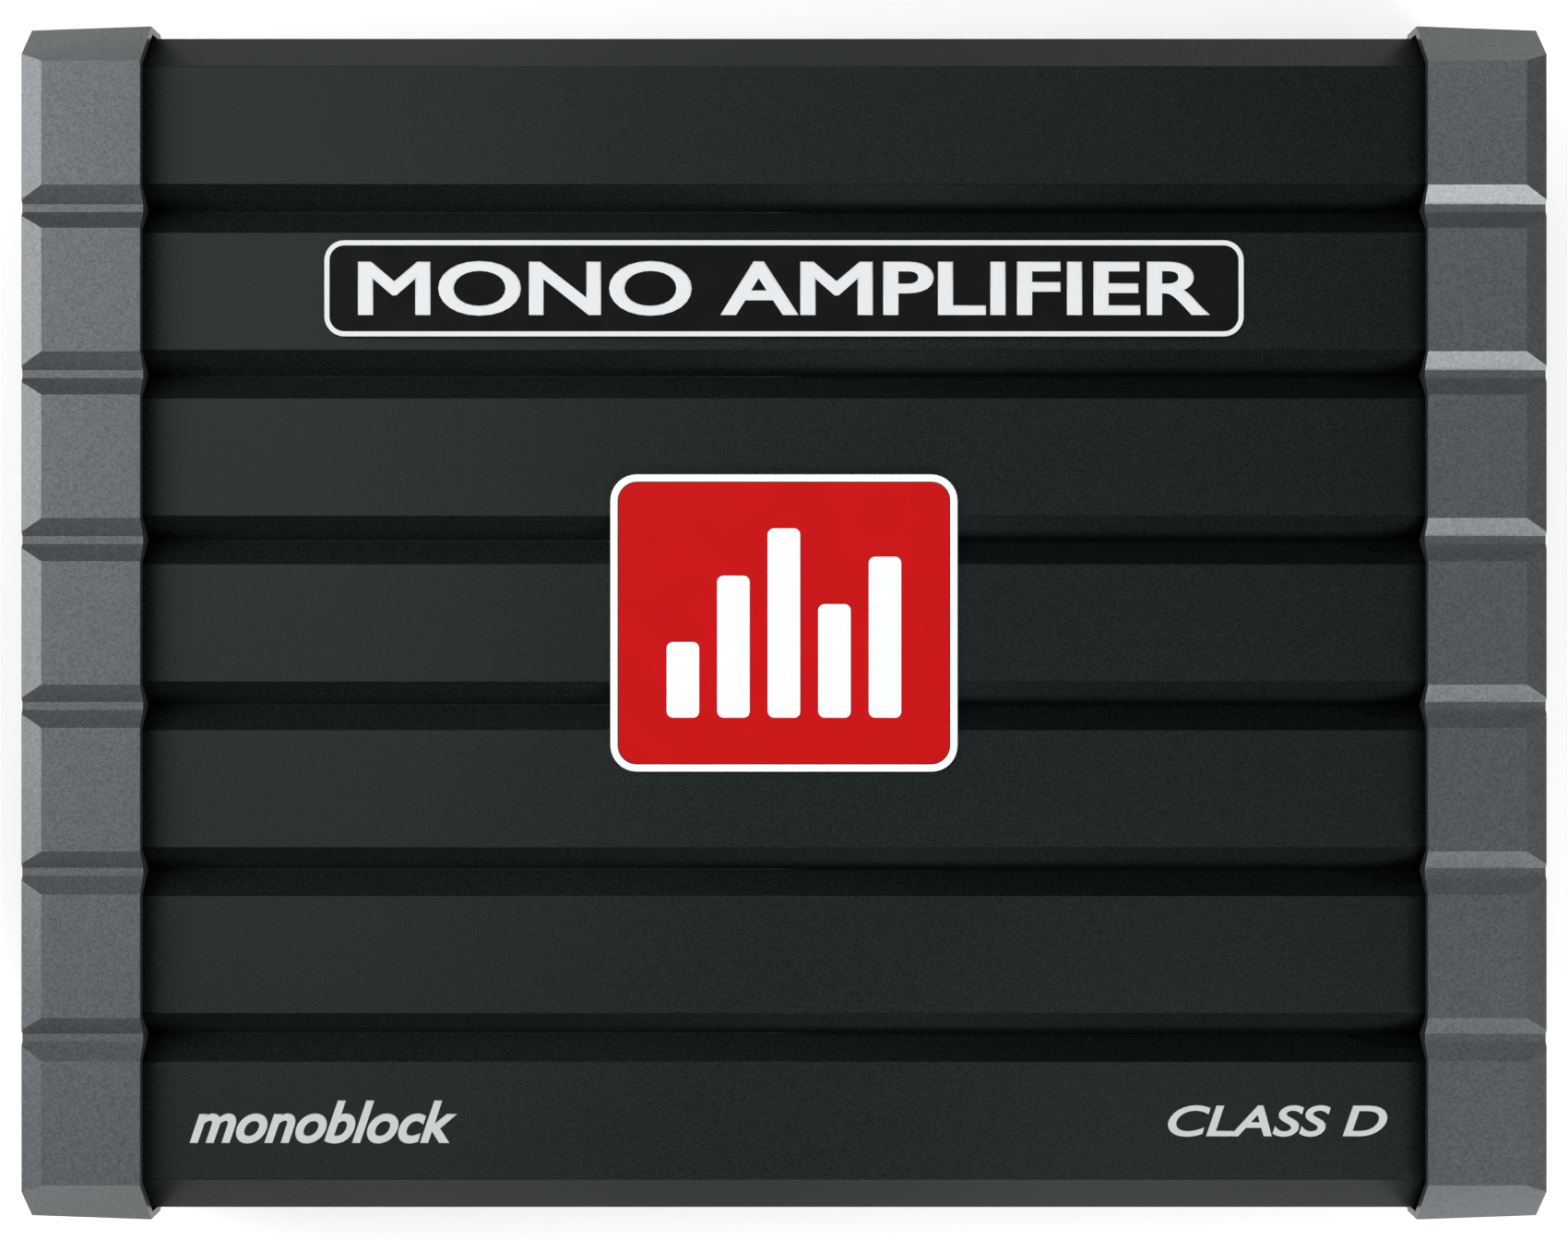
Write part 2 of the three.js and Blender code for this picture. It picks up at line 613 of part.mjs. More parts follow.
function indicator(y) {
  const shoulder = LED.tip - LED.radius;
  const dome = [1, 2, 3].map((i) => {
    const angle = (i * Math.PI) / 8;
    return [LED.radius * Math.cos(angle), shoulder + LED.radius * Math.sin(angle)];
  });
  const flangeFront = LED.back + 1;
  const profile = [
    [0, LED.back],
    [LED.flange, LED.back],
    [LED.flange, flangeFront],
    [LED.radius, flangeFront],
    [LED.radius, shoulder],
    ...dome,
    [0, LED.tip],
  ];
  return turnedX(profile, y, CONTROL_Z, 16);
}

add("signal_end_panel", signalPanel(), BLACK_STEEL, signalEnd);
add(
  "rca_jack_block",
  box(RCA.back, RCA_FRONT, RCA.y - RCA.halfWidth, RCA.y + RCA.halfWidth, ON_BOARD, RCA.top),
  BLACK_PLASTIC,
  signalEnd,
);
["input", "output"].forEach((use, column) => {
  ["right", "left"].forEach((channel, row) => {
    const socket = rcaSocket(RCA.y + RCA.columns[column], RCA.rows[row]);
    add(`rca_${use}_${channel}`, socket, GOLD_PLATE, signalEnd);
  });
});
for (const [control, y] of Object.entries(CONTROLS)) {
  add(`potentiometer_${control}`, potentiometer(y), BLACK_PLASTIC, signalEnd);
  add(`knob_${control}`, controlKnob(y), BLACK_PLASTIC, signalEnd);
}
add("phase_switch_body", phaseSwitchBody(), ZINC_STEEL, signalEnd);
add("phase_switch_slider", phaseSwitchSlider(), BLACK_PLASTIC, signalEnd);
add("remote_level_jack", remoteJack(), BLACK_PLASTIC, signalEnd);
add("power_indicator", indicator(LEDS.power), LED_BLUE, signalEnd);
add("protect_indicator", indicator(LEDS.protect), LED_RED, signalEnd);

// ---- Power end ----------------------------------------------------------------------------------------------------

const poleZs = (block) => [POLE_FLOOR, block.top - INSERT.topWall];

function blockHalfWidth(block) {
  const reach = Object.values(block.poles).map((pole) => Math.abs(pole.y) + pole.width / 2);
  return Math.max(...reach) + block.margin;
}

// A terminal housing: a pocket for each pole's insert, a wire entry in front and a screw hole on top.
function terminalHousing(block) {
  const half = blockHalfWidth(block);
  let housing = box(block.back, block.front, block.y - half, block.y + half, ON_BOARD, block.top);
  const [floor, ceiling] = poleZs(block);
  for (const pole of Object.values(block.poles)) {
    const y = block.y + pole.y;
    const w = pole.width / 2 + FIT;
    const pocketBack = INSERT.back - FIT;
    housing = housing.subtract(box(pocketBack, INSERT.front + FIT, y - w, y + w, ON_BOARD - 1, ceiling + FIT));
    housing = housing.subtract(rodX(pole.wire + 0.4, INSERT.front, block.front + 1, y, block.wireZ));
    const funnel = new THREE.CylinderGeometry(pole.wire + 0.4, pole.wire + 1.8, 1.4, 20).rotateZ(Math.PI / 2);
    housing = housing.subtract(solid(funnel.translate(block.front - 0.69, y, block.wireZ)));
    const screwHole = rodZ(pole.screw + 0.6, floor, block.top + 1, INSERT.screwX, y);
    housing = housing.subtract(screwHole);
  }
  return housing;
}

// A plated insert: wire hole from the front, threaded hole from the top.
function terminalInsert(block, pole) {
  const [floor, ceiling] = poleZs(block);
  const y = block.y + pole.y;
  const w = pole.width / 2;
  const insert = box(INSERT.back, INSERT.front, y - w, y + w, floor, ceiling);
  const wireHole = rodX(pole.wire, INSERT.back + 2, INSERT.front + 1, y, block.wireZ);
  const thread = rodZ(pole.screw + 0.1, block.wireZ, ceiling + 1, INSERT.screwX, y);
  return insert.subtract(wireHole).subtract(thread);
}

// A socket-head set screw, backed off so that its tip is clear of the wire hole.
function clampScrew(block, pole) {
  const y = block.y + pole.y;
  const tip = block.wireZ + pole.wire + 0.2;
  const top = block.top - 0.5;
  const screw = rodZ(pole.screw, tip, top, INSERT.screwX, y);
  const hexagon = rodZ(pole.screw * 0.56, top - 2.2, top + 1, INSERT.screwX, y, 6);
  return screw.subtract(hexagon);
}

function powerPanel() {
  let panel = panelSheet();
  for (const block of [POWER_BLOCK, SPEAKER_BLOCK]) {
    panel = panel.subtract(panelHole(block.y, blockHalfWidth(block), ON_BOARD, block.top));
  }
  panel = panel.subtract(panelHole(FUSE_HOLDER.y, FUSE_HOLDER.halfWidth, ON_BOARD, FUSE_HOLDER.top));
  for (const side of [-1, 1]) {
    const at = [side * CAP_SCREW.y, CAP_SCREW.z];
    panel = panel.subtract(rodX(CAP_SCREW.shank + 0.3, panelBack, panelFront, ...at, 12));
  }
  return panel;
}

function fuseHolder() {
  const { y, ys, halfWidth, back, front, top, z } = FUSE_HOLDER;
  let holder = box(back, front, y - halfWidth, y + halfWidth, ON_BOARD, top);
  const [w, h] = [FUSE.thickness / 2 + FIT, FUSE.height / 2 + FIT];
  for (const offset of ys) {
    const at = y + offset;
    holder = holder.subtract(box(FUSE.back - FIT, front + 1, at - w, at + w, z - h, z + h));
    for (const side of [-1, 1]) {
      const zs = [side * (FUSE.bladeInner - BLADE_PLAY), side * (FUSE.bladeOuter + BLADE_PLAY)];
      const [low, high] = zs.sort((a, b) => a - b);
      const slotHalf = FUSE.bladeHalf + BLADE_PLAY;
      const slot = box(FUSE.bladeTip - 1, FUSE.back, at - slotHalf, at + slotHalf, z + low, z + high);
      holder = holder.subtract(slot);
    }
  }
  return holder;
}

// A plug-in blade fuse: a moulded body with a narrower grip, and two blades.
function bladeFuse(offset) {
  const y = FUSE_HOLDER.y + offset;
  const { z } = FUSE_HOLDER;
  const [w, h] = [FUSE.thickness / 2, FUSE.height / 2];
  const gripHalf = h - 2;
  let fuse = box(FUSE.back, FUSE.waist, y - w, y + w, z - h, z + h);
  fuse = fuse.add(box(FUSE.waist - 0.1, FUSE.front, y - w + 0.6, y + w - 0.6, z - gripHalf, z + gripHalf));
  for (const side of [-1, 1]) {
    const [low, high] = [side * FUSE.bladeInner, side * FUSE.bladeOuter].sort((a, b) => a - b);
    const half = FUSE.bladeHalf;
    fuse = fuse.add(box(FUSE.bladeTip, FUSE.back + 0.1, y - half, y + half, z + low, z + high));
  }
  return fuse;
}

add("power_end_panel", powerPanel(), BLACK_STEEL, powerEnd);
for (const [use, block] of [["power", POWER_BLOCK], ["speaker", SPEAKER_BLOCK]]) {
  add(`${use}_terminal_block`, terminalHousing(block), BLACK_PLASTIC, powerEnd);
  for (const [label, pole] of Object.entries(block.poles)) {
    add(`${use}_insert_${label}`, terminalInsert(block, pole), GOLD_PLATE, powerEnd);
    add(`${use}_clamp_screw_${label}`, clampScrew(block, pole), ZINC_STEEL, powerEnd);
  }
}
add("fuse_holder", fuseHolder(), BLACK_PLASTIC, powerEnd);
FUSE_HOLDER.ys.forEach((offset, i) => add(`blade_fuse_${i + 1}`, bladeFuse(offset), FUSE_AMBER, powerEnd));

export default amplifier;
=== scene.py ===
import json
import math

import bmesh
import bpy
from bpy.props import FloatProperty, FloatVectorProperty, IntProperty, PointerProperty, StringProperty
from mathutils import Matrix, Vector


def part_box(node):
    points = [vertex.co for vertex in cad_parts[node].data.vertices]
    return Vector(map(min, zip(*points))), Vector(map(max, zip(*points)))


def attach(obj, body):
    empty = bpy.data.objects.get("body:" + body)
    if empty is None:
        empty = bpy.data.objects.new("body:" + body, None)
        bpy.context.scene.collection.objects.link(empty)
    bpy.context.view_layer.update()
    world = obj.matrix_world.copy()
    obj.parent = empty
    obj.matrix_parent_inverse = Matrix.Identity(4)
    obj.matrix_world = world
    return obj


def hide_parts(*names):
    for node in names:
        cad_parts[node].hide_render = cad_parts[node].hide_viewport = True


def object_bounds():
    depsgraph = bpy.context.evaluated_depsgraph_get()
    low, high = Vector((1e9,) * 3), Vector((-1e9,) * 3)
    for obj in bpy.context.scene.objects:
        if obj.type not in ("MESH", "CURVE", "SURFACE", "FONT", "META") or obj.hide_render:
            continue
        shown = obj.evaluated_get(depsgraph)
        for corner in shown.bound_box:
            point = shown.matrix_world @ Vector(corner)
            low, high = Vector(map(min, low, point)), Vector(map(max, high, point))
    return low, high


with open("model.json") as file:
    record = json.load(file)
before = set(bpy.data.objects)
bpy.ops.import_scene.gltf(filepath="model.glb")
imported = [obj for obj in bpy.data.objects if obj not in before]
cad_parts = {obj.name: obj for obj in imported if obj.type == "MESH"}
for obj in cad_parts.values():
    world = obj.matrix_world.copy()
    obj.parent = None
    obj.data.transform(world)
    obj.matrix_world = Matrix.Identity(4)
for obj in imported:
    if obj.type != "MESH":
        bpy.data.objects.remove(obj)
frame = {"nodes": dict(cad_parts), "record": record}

bl_info = {
    "name": "Mono-Block Car Amplifier",
    "version": (1, 0, 0),
    "blender": (4, 5, 0),
    "location": "3D View > Sidebar > Amplifier",
    "description": "Builds the visible pieces of a mono-block car amplifier around its frame",
    "category": "Object",
}

CAD_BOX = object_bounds()
MM = 0.001
CASE = "case"


def linear(colour):
    """Turns an sRGB hex colour into the linear values that shaders take."""
    channels = [int(colour[i:i + 2], 16) / 255 for i in (1, 3, 5)]
    return [c / 12.92 if c <= 0.04045 else ((c + 0.055) / 1.055) ** 2.4 for c in channels]


# ---- Settings ----

def length(name, description, millimetres):
    """A length that the user may change."""
    return FloatProperty(
        name=name, description=description, default=millimetres * MM, min=0, precision=5,
        subtype="DISTANCE", unit="LENGTH")


def colour(name, description, hex_colour):
    """A colour that the user may change."""
    return FloatVectorProperty(
        name=name, description=description, default=linear(hex_colour), min=0, max=1, size=3, subtype="COLOR")


class AmplifierSizes(bpy.types.PropertyGroup):
    """Sizes of the visible pieces that the frame doesn't settle."""

    groove_count: IntProperty(name="Grooves", description="Grooves along the top", default=6, min=1)
    groove_pitch: length("Groove Pitch", "Distance from one groove to the next", 31.57)
    groove_half: length("Groove Half Width", "Half the width of a groove's mouth", 4.57)
    groove_depth: length("Groove Depth", "Depth of a groove", 5.5)
    side_groove_height: length("Side Groove Height", "Height of the groove in each side", 35.6)
    chamfer_run: length("Chamfer Run", "Width of the chamfer along the top's edges, seen from above", 6.95)
    chamfer_drop: length("Chamfer Drop", "Height of the chamfer along the top's edges", 7.65)
    wall: length("Wall", "Thickness of the heatsink's side walls", 9.4)
    roof: length("Roof", "Thickness of the heatsink's top", 9.5)
    edge_radius: length("Edge Radius", "Rounding of the extrusion's edges", 0.3)
    cap_edge: length("Cap Edge", "Rounding of the end caps' edges", 0.28)
    badge_rim: length("Badge Rim", "Width of the badge's bright rim", 1.4)
    plate_line: length("Plate Line", "Width of the line round the name plate", 0.95)
    print_height: length("Print Height", "Thickness of a printed layer", 0.05)


class AmplifierColours(bpy.types.PropertyGroup):
    """Colours of the finishes."""

    body: colour("Heatsink", "Black anodised aluminium", "#0e1415")
    cap: colour("End Caps", "Grey metallic paint", "#4c5053")
    badge: colour("Badge", "Red enamel", "#a30205")
    plate: colour("Name Plate", "Gloss black lacquer", "#0a0c0d")
    white_print: colour("White Print", "Screen print on the plates", "#bdbfc1")
    silver_print: colour("Silver Print", "Screen print on the heatsink", "#a3a6a7")
    plastic: colour("Plastic", "Black moulded plastic", "#161718")
    fuse: colour("Fuse", "Tinted fuse moulding", "#e0861a")


class AmplifierWords(bpy.types.PropertyGroup):
    """Generic words on the plates."""

    plate: StringProperty(name="Name Plate", description="Words on the name plate", default="MONO AMPLIFIER")
    left: StringProperty(name="Left Print", description="Word near the left corner", default="monoblock")
    right: StringProperty(name="Right Print", description="Words near the right corner", default="CLASS D")


# ---- Node and mesh helpers ----

def add_node(tree, kind, inputs=None, **settings):
    """Adds a node, sets its options, and fills its inputs with values or links."""
    node = tree.nodes.new(kind)
    for key, value in settings.items():
        setattr(node, key, value)
    for key, value in (inputs or {}).items():
        if isinstance(value, bpy.types.NodeSocket):
            tree.links.new(value, node.inputs[key])
        else:
            node.inputs[key].default_value = value
    return node


def linked(name, data):
    """A new object of the given data, in the scene."""
    piece = bpy.data.objects.new(name, data)
    bpy.context.scene.collection.objects.link(piece)
    return piece


def from_bmesh(name, bm):
    """A new piece from a finished bmesh."""
    mesh = bpy.data.meshes.new(name)
    bm.to_mesh(mesh)
    bm.free()
    return linked(name, mesh)


def plain_mesh(source):
    """Applies everything on an object and returns a plain mesh piece of the same name."""
    graph = bpy.context.evaluated_depsgraph_get()
    mesh = bpy.data.meshes.new_from_object(source.evaluated_get(graph), depsgraph=graph)
    name = source.name
    bpy.data.objects.remove(source)
    mesh.name = name
    return linked(name, mesh)


def rounded(piece, radius, segments=2, angle=30):
    """Rounds the edges of a piece that are sharper than an angle, and shades its flats flat."""
    piece.data.shade_smooth()
    bevel = piece.modifiers.new("rounded", "BEVEL")
    bevel.width = radius
    bevel.segments = segments
    bevel.limit_method = "ANGLE"
    bevel.angle_limit = math.radians(angle)
    return weighted(piece)


def weighted(piece):
    """Shades a piece with narrow rounded edges so that its wide faces stay flat."""
    piece.data.shade_smooth()
    piece.modifiers.new("weighted", "WEIGHTED_NORMAL").weight = 100
    return plain_mesh(piece)


def frame_copy(node, name):
    """A copy of a frame node with its triangles merged into whole faces."""
    bm = bmesh.new()
    bm.from_mesh(frame["nodes"][node].data)
    bmesh.ops.remove_doubles(bm, verts=bm.verts, dist=0.001 * MM)
    bmesh.ops.dissolve_limit(bm, angle_limit=math.radians(0.5), verts=bm.verts, edges=bm.edges)
    bmesh.ops.recalc_face_normals(bm, faces=bm.faces)
    return from_bmesh(name, bm)


def block(name, low, high, radius=0.0, segments=2):
    """A box between two corners, with rounded edges."""
    bm = bmesh.new()
    centre = (Vector(low) + Vector(high)) / 2
    spread = Vector(high) - Vector(low)
    bmesh.ops.create_cube(bm, size=1, matrix=Matrix.Translation(centre) @ Matrix.Diagonal((*spread, 1)))
    piece = from_bmesh(name, bm)
    return rounded(piece, radius, segments) if radius else piece


def turned(name, profile, sides=48):
    """A closed piece turned about Z from (radius, height) points, listed from the axis outwards and back."""
    bm = bmesh.new()
    rings = []
    for radius, height in profile:
        if radius < 1e-7:
            rings.append([bm.verts.new((0, 0, height))])
            continue
        turn = [2 * math.pi * i / sides for i in range(sides)]
        rings.append([bm.verts.new((radius * math.cos(a), radius * math.sin(a), height)) for a in turn])
    closed = profile[0][0] > 1e-7
    pairs = list(zip(rings, rings[1:])) + ([(rings[-1], rings[0])] if closed else [])
    for lower, upper in pairs:
        for i in range(sides):
            j = (i + 1) % sides
            corners = [
                lower[i % len(lower)], lower[j % len(lower)], upper[j % len(upper)], upper[i % len(upper)]]
            bm.faces.new(list(dict.fromkeys(corners)))
    bmesh.ops.recalc_face_normals(bm, faces=bm.faces)
    return from_bmesh(name, bm)


def rounded_rectangle(width, height, radius, steps=8):
    """The corner-rounded outline of a rectangle about the origin, counter-clockwise."""
    points = []
    for turn, (sx, sy) in enumerate(((1, 1), (-1, 1), (-1, -1), (1, -1))):
        centre = Vector((sx * (width / 2 - radius), sy * (height / 2 - radius)))
        for i in range(steps + 1):
            angle = (turn + i / steps) * math.pi / 2
            points.append(centre + radius * Vector((math.cos(angle), math.sin(angle))))
    return points


def plate(name, outline, low, high, radius=0.0, hole=None):
    """A flat piece with an outline, from one height to another, with an optional hole of as many points."""
    bm = bmesh.new()
    loops = []
    for height in (low, high):
        loops.append([bm.verts.new((x, y, height)) for x, y in outline])
        if hole:
            loops.append([bm.verts.new((x, y, height)) for x, y in hole])
    count = len(outline)
    if hole:
        bottom, bottom_hole, top, top_hole = loops
        walls = [(bottom, top), (top, top_hole), (top_hole, bottom_hole), (bottom_hole, bottom)]
    else:
        bottom, top = loops
        walls = [(bottom, top)]
        bm.faces.new(bottom)
        bm.faces.new(top)
    for one, other in walls:
        for i in range(count):
            j = (i + 1) % count
            bm.faces.new((one[i], one[j], other[j], other[i]))
    bmesh.ops.recalc_face_normals(bm, faces=bm.faces)
    piece = from_bmesh(name, bm)
    return rounded(piece, radius) if radius else piece


def cut(piece, *cutters):
    """Cuts other pieces out of a piece, and removes them."""
    for cutter in cutters:
        boolean = piece.modifiers.new("cut", "BOOLEAN")
        boolean.operation = "DIFFERENCE"
        boolean.solver = "EXACT"
        boolean.object = cutter
        piece = plain_mesh(piece)
        bpy.data.objects.remove(cutter)
    return piece


def joined(name, *pieces):
    """Several pieces as one, with their materials kept."""
    bm = bmesh.new()
    materials = []
    for piece in pieces:
        start = len(bm.faces)
        bm.from_mesh(piece.data)
        bm.faces.ensure_lookup_table()
        for face in bm.faces[start:]:
            if piece.data.materials:
                material = piece.data.materials[face.material_index]
                if material not in materials:
                    materials.append(material)
                face.material_index = materials.index(material)
        bpy.data.objects.remove(piece)
    result = from_bmesh(name, bm)
    for material in materials:
        result.data.materials.append(material)
    return result


def placed(piece, matrix):
    """Moves a piece's mesh, so that its object stays at the origin."""
    piece.data.transform(matrix)
    return piece


def lettering(name, words, height, thickness, width=None, bold=0.0, slant=0.0):
    """Words as a closed flat mesh about the origin, fitted to a height and, if it is given, to a width."""
    text = bpy.data.curves.new(name, "FONT")
    text.body = words
    text.extrude = 0.1
    text.bevel_depth = bold
    text.bevel_resolution = 0
    text.shear = slant
    text.resolution_u = 6
    piece = plain_mesh(linked(name, text))
    bm = bmesh.new()
    bm.from_mesh(piece.data)
    bmesh.ops.remove_doubles(bm, verts=bm.verts, dist=1e-5)
    bmesh.ops.recalc_face_normals(bm, faces=bm.faces)
    bm.to_mesh(piece.data)
    bm.free()
    low = Vector([min(v.co[i] for v in piece.data.vertices) for i in range(3)])
    high = Vector([max(v.co[i] for v in piece.data.vertices) for i in range(3)])
    tall = height / (high.y - low.y)
    wide = width / (high.x - low.x) if width else tall
    centre = Matrix.Translation(-(low + high) / 2)
    return placed(piece, Matrix.Diagonal((wide, tall, thickness, 1)) @ centre)


def shifted(piece, x, y, z=0):
    """Moves a piece without turning it."""
    return placed(piece, Matrix.Translation((x, y, z)))


def settle(piece, finish, *stands_for, slot=None, body=CASE):
    """Gives a finished piece its finish and its body, and hides the frame nodes that it stands for. The slot is
    not used.
    """
    if finish:
        piece.data.materials.clear()
        piece.data.materials.append(FINISHES[finish])
    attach(piece, body)
    if stands_for:
        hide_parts(*stands_for)


def kept_form(node, name, finish, radius, angle=30, slot=None):
    """Stands a frame node's own form, with its edges rounded, in the node's place."""
    settle(rounded(frame_copy(node, name), radius, angle=angle), finish, node, slot=slot)


def outward(end):
    """The frame of an end: X to the viewer's right, Y up and Z out of the case."""
    sign = 1 if end == "power" else -1
    axes = Matrix(((0, 0, sign), (sign, 0, 0), (0, 1, 0)))
    return axes.to_4x4()


def at_end(end, across, up, out):
    """Places a piece made about Z at a point of an end, given in that end's own frame."""
    return outward(end) @ Matrix.Translation((across, up, out))


def middle(node):
    """The centre of a frame node's box."""
    low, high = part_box(node)
    return (low + high) / 2


# ---- Geometry Nodes ----

def new_tree(name, **sockets):
    """A geometry tree with named inputs, each given as a socket type."""
    tree = bpy.data.node_groups.new(name, "GeometryNodeTree")
    tree.interface.new_socket("Geometry", in_out="INPUT", socket_type="NodeSocketGeometry")
    for label, kind in sockets.items():
        tree.interface.new_socket(label.replace("_", " "), in_out="INPUT", socket_type="NodeSocket" + kind)
    tree.interface.new_socket("Geometry", in_out="OUTPUT", socket_type="NodeSocketGeometry")
    return tree, add_node(tree, "NodeGroupInput").outputs


def close_tree(tree, geometry, material):
    """Ends a tree with real geometry and its material."""
    real = add_node(tree, "GeometryNodeRealizeInstances", {"Geometry": geometry})
    shown = add_node(tree, "GeometryNodeSetMaterial", {"Geometry": real.outputs[0], "Material": material})
    add_node(tree, "NodeGroupOutput", {"Geometry": shown.outputs[0]})


def grown(source, tree, **inputs):
    """Runs a tree on an object and returns the result as a plain mesh piece."""
    modifier = source.modifiers.new(tree.name, "NODES")
    modifier.node_group = tree
    for item in tree.interface.items_tree:
        key = item.name.replace(" ", "_")
        if item.in_out == "INPUT" and key in inputs:
            modifier[item.identifier] = inputs[key]
    return plain_mesh(source)


def point_set(name, points):
    """A mesh of loose points, for a tree to put pieces on."""
    mesh = bpy.data.meshes.new(name)
    mesh.from_pydata([tuple(p) for p in points], [], [])
    return linked(name, mesh)


def extrusion_tree(material):
    """Rounds the corners of an outline and runs it along X, as a die does."""
    tree, given = new_tree("Extrusion", Length="Float", Edge_Radius="Float", Edge_Steps="Int")
    outline = add_node(tree, "GeometryNodeMeshToCurve", {"Mesh": given["Geometry"]})
    soft = add_node(tree, "GeometryNodeFilletCurve", {
        "Curve": outline.outputs[0], "Count": given["Edge Steps"], "Radius": given["Edge Radius"],
        "Limit Radius": True}, mode="POLY")
    half = add_node(tree, "ShaderNodeMath", {0: given["Length"], 1: 0.5}, operation="MULTIPLY")
    back = add_node(tree, "ShaderNodeMath", {0: given["Length"], 1: -0.5}, operation="MULTIPLY")
    start = add_node(tree, "ShaderNodeCombineXYZ", {"X": back.outputs[0]})
    end = add_node(tree, "ShaderNodeCombineXYZ", {"X": half.outputs[0]})
    way = add_node(tree, "GeometryNodeCurvePrimitiveLine", {"Start": start.outputs[0], "End": end.outputs[0]})
    run = add_node(tree, "GeometryNodeCurveToMesh", {
        "Curve": way.outputs[0], "Profile Curve": soft.outputs[0], "Fill Caps": True})
    close_tree(tree, run.outputs[0], material)
    return tree


def scattered_tree(name, material):
    """Puts one made piece on every point, turned the same way."""
    tree, given = new_tree(name, Piece="Object", Turn="Vector", Scale="Float")
    made = add_node(tree, "GeometryNodeObjectInfo", {"Object": given["Piece"]})
    turn = add_node(tree, "FunctionNodeEulerToRotation", {0: given["Turn"]})
    spread = add_node(tree, "GeometryNodeInstanceOnPoints", {
        "Points": given["Geometry"], "Instance": made.outputs["Geometry"],
        "Rotation": turn.outputs[0], "Scale": given["Scale"]})
    close_tree(tree, spread.outputs[0], material)
    return tree


def ribbed_tree(material):
    """Sets ribs round a grip."""
    tree, given = new_tree(
        "Ribbed Grip", Ribs="Int", Grip_Radius="Float", Rib_Radius="Float", Rib_Length="Float")
    ring = add_node(tree, "GeometryNodeMeshCircle", {"Vertices": given["Ribs"], "Radius": given["Grip Radius"]})
    rib = add_node(tree, "GeometryNodeMeshCylinder", {
        "Vertices": 8, "Radius": given["Rib Radius"], "Depth": given["Rib Length"]})
    smooth = add_node(tree, "GeometryNodeSetShadeSmooth", {"Geometry": rib.outputs["Mesh"]})
    ribs = add_node(tree, "GeometryNodeInstanceOnPoints", {
        "Points": ring.outputs[0], "Instance": smooth.outputs[0]})
    both = add_node(tree, "GeometryNodeJoinGeometry")
    tree.links.new(ribs.outputs[0], both.inputs[0])
    tree.links.new(given["Geometry"], both.inputs[0])
    close_tree(tree, both.outputs[0], material)
    return tree


def dial_tree(material):
    """Sets marks round a dial, from one end of its turn to the other."""
    tree, given = new_tree("Dial Marks", Marks="Int", Dial_Radius="Float", Mark_Size="Vector")
    sweep = math.radians(270)
    arc = add_node(tree, "GeometryNodeCurveArc", {
        "Resolution": given["Marks"], "Radius": given["Dial Radius"],
        "Start Angle": math.radians(-45), "Sweep Angle": sweep}, mode="RADIUS")
    spots = add_node(tree, "GeometryNodeCurveToPoints", {"Curve": arc.outputs[0]}, mode="EVALUATED")
    mark = add_node(tree, "GeometryNodeMeshCube", {"Size": given["Mark Size"]})
    marks = add_node(tree, "GeometryNodeInstanceOnPoints", {
        "Points": spots.outputs["Points"], "Instance": mark.outputs["Mesh"],
        "Rotation": spots.outputs["Rotation"]})
    close_tree(tree, marks.outputs[0], material)
    return tree


def winding_tree(material):
    """Winds a wire round a ring-shaped core."""
    tree, given = new_tree(
        "Toroid Winding", Turns="Float", Ring_Radius="Float", Half_Width="Float", Half_Height="Float",
        Wire_Radius="Float", Points="Int")

    def maths(operation, first, second=0.0):
        return add_node(tree, "ShaderNodeMath", {0: first, 1: second}, operation=operation).outputs[0]

    way = add_node(tree, "GeometryNodeCurvePrimitiveLine")
    fine = add_node(tree, "GeometryNodeResampleCurve", {"Curve": way.outputs[0], "Count": given["Points"]})
    share = add_node(tree, "GeometryNodeSplineParameter").outputs["Factor"]
    around = maths("MULTIPLY", share, 2 * math.pi)
    through = maths("MULTIPLY", around, given["Turns"])

    def squared(wave):
        return maths("MULTIPLY", maths("SIGN", wave), maths("POWER", maths("ABSOLUTE", wave), 0.5))

    inward = maths("MULTIPLY", squared(maths("COSINE", through)), given["Half Width"])
    radius = maths("ADD", inward, given["Ring Radius"])
    height = maths("MULTIPLY", squared(maths("SINE", through)), given["Half Height"])
    spot = add_node(tree, "ShaderNodeCombineXYZ", {
        "X": maths("MULTIPLY", radius, maths("COSINE", around)),
        "Y": maths("MULTIPLY", radius, maths("SINE", around)), "Z": height})
    coil = add_node(tree, "GeometryNodeSetPosition", {"Geometry": fine.outputs[0], "Position": spot.outputs[0]})
    wire = add_node(tree, "GeometryNodeCurvePrimitiveCircle", {"Resolution": 6, "Radius": given["Wire Radius"]})
    run = add_node(tree, "GeometryNodeCurveToMesh", {
        "Curve": coil.outputs[0], "Profile Curve": wire.outputs[0], "Fill Caps": True})
    smooth = add_node(tree, "GeometryNodeSetShadeSmooth", {"Geometry": run.outputs[0]})
    close_tree(tree, smooth.outputs[0], material)
    return tree


# ---- Finishes ----

def start_finish(name, base, roughness, metallic=0.0):
    """A new material with its shader's own values set. Returns it with its tree, shader and place socket."""
    material = bpy.data.materials.new(name)
    material.use_nodes = True
    tree = material.node_tree
    tree.nodes.clear()
    shader = add_node(tree, "ShaderNodeBsdfPrincipled", {
        "Base Color": (*base, 1), "Roughness": roughness, "Metallic": metallic})
    add_node(tree, "ShaderNodeOutputMaterial", {"Surface": shader.outputs[0]})
    place = add_node(tree, "ShaderNodeTexCoord").outputs["Object"]
    return material, tree, shader, place


